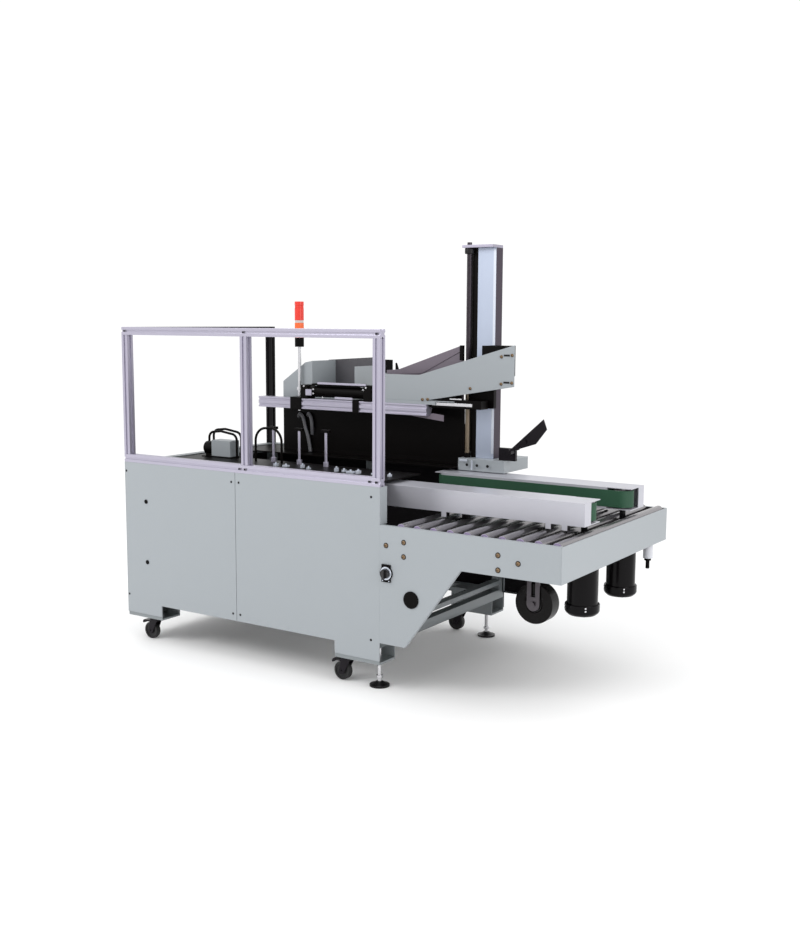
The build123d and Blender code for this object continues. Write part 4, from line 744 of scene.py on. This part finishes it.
for step in range(5):
    turn = math.radians(-60 + 30 * step)
    spot = (dial_x + math.sin(turn) * 0.022, dial_y - 0.0008, dial_z + math.cos(turn) * 0.022)
    turned(dial, [(0, 0), (0, 0.0012), (0.0005, 0.001), (0.0005, 0)], spot, (0, -1, 0), 10)
for dx in (-0.0145, 0.0145):
    cap_screw(dial, (dial_x + dx, dial_y, dial_z - 0.029), (0, -1, 0), 0.0025, 0.0015)
piece("switch_dial_ring", dial, bright_trim, "machine", "black_plastic")

# ---- Casters and feet ----
# Pressed steel forks with a brake pedal and black rubber wheels, bolted under the frame's corners,
# and two plated levelling feet on threaded stems at the outfeed end.

wheel_rubber = surface("Wheel rubber", (0.003, 0.0025, 0.003), 0.55, grain=500, bump=0.4, mottle=0.3)
for place in ("left_near", "left_far", "right_near", "right_far"):
    fork = welded("caster_fork_" + place)
    ease(fork, 0.0006)
    piece("fork_" + place, fork, dark_steel, "swivel_" + place, "dark_steel", "caster_fork_" + place)
    wheel = welded("caster_wheel_" + place)
    piece("wheel_" + place + "_tyre", wheel, wheel_rubber, "wheel_" + place, "wheel_rubber",
          "caster_wheel_" + place)
pad_top = 0.021
for side in ("near", "far"):
    foot = welded("levelling_foot_" + side)
    ease(foot, 0.0008)
    second_finish(foot, lambda face: face.calc_center_median().z < pad_top)
    piece(side + "_foot_disc", foot, [axle_steel, black_oxide], side + "_foot", "chrome",
          "levelling_foot_" + side)

# ---- Floor, lights and camera ----
# Pale seamless floor, with soft studio light from the front and above. The camera stands off the
# outfeed end on the operator's side, at the height of the guard's top rail.


def plain(name, colour, rough):
    finish = bpy.data.materials.new(name)
    finish.use_nodes = True
    shader = finish.node_tree.nodes["Principled BSDF"]
    shader.inputs["Base Color"].default_value = (*colour, 1)
    shader.inputs["Roughness"].default_value = rough
    return finish


floor_mesh = bpy.data.meshes.new("floor")
ground = bmesh.new()
bmesh.ops.create_grid(ground, x_segments=1, y_segments=1, size=30)
ground.to_mesh(floor_mesh)
ground.free()
floor = bpy.data.objects.new("floor", floor_mesh)
floor_mesh.materials.append(plain("Pale floor", (0.97, 0.97, 0.97), 0.9))
bpy.context.scene.collection.objects.link(floor)

world = bpy.data.worlds.new("Studio")
bpy.context.scene.world = world
world.use_nodes = True
world.node_tree.nodes["Background"].inputs["Color"].default_value = (1, 1, 1, 1)
world.node_tree.nodes["Background"].inputs["Strength"].default_value = 1.06
bpy.context.scene.view_settings.view_transform = "Standard"


def soft_light(name, place, target, size, power):
    lamp = bpy.data.lights.new(name, "AREA")
    lamp.shape = "DISK"
    lamp.size = size
    lamp.energy = power
    holder = bpy.data.objects.new(name, lamp)
    aim = Vector(target) - Vector(place)
    holder.matrix_world = Matrix.Translation(place) @ aim.to_track_quat("-Z", "Y").to_matrix().to_4x4()
    bpy.context.scene.collection.objects.link(holder)


soft_light("Key", (-2.5, -4.5, 4.0), (0, 0, 0.7), 2.5, 110)
soft_light("Fill", (4.5, -1.0, 2.5), (0.5, 0, 0.6), 2.5, 60)

lens = bpy.data.cameras.new("camera")
lens.lens = 43.62
lens.sensor_width = 36
camera = bpy.data.objects.new("camera", lens)
heading, down, roll = 33.339, 7.262, 0.263
turn = Matrix.Rotation(math.radians(heading), 4, "Z") @ Matrix.Rotation(math.radians(90 - down), 4, "X")
turn = turn @ Matrix.Rotation(math.radians(roll), 4, "Z")
camera.matrix_world = Matrix.Translation((2.691, -3.992, 1.429)) @ turn
bpy.context.scene.collection.objects.link(camera)
bpy.context.scene.camera = camera
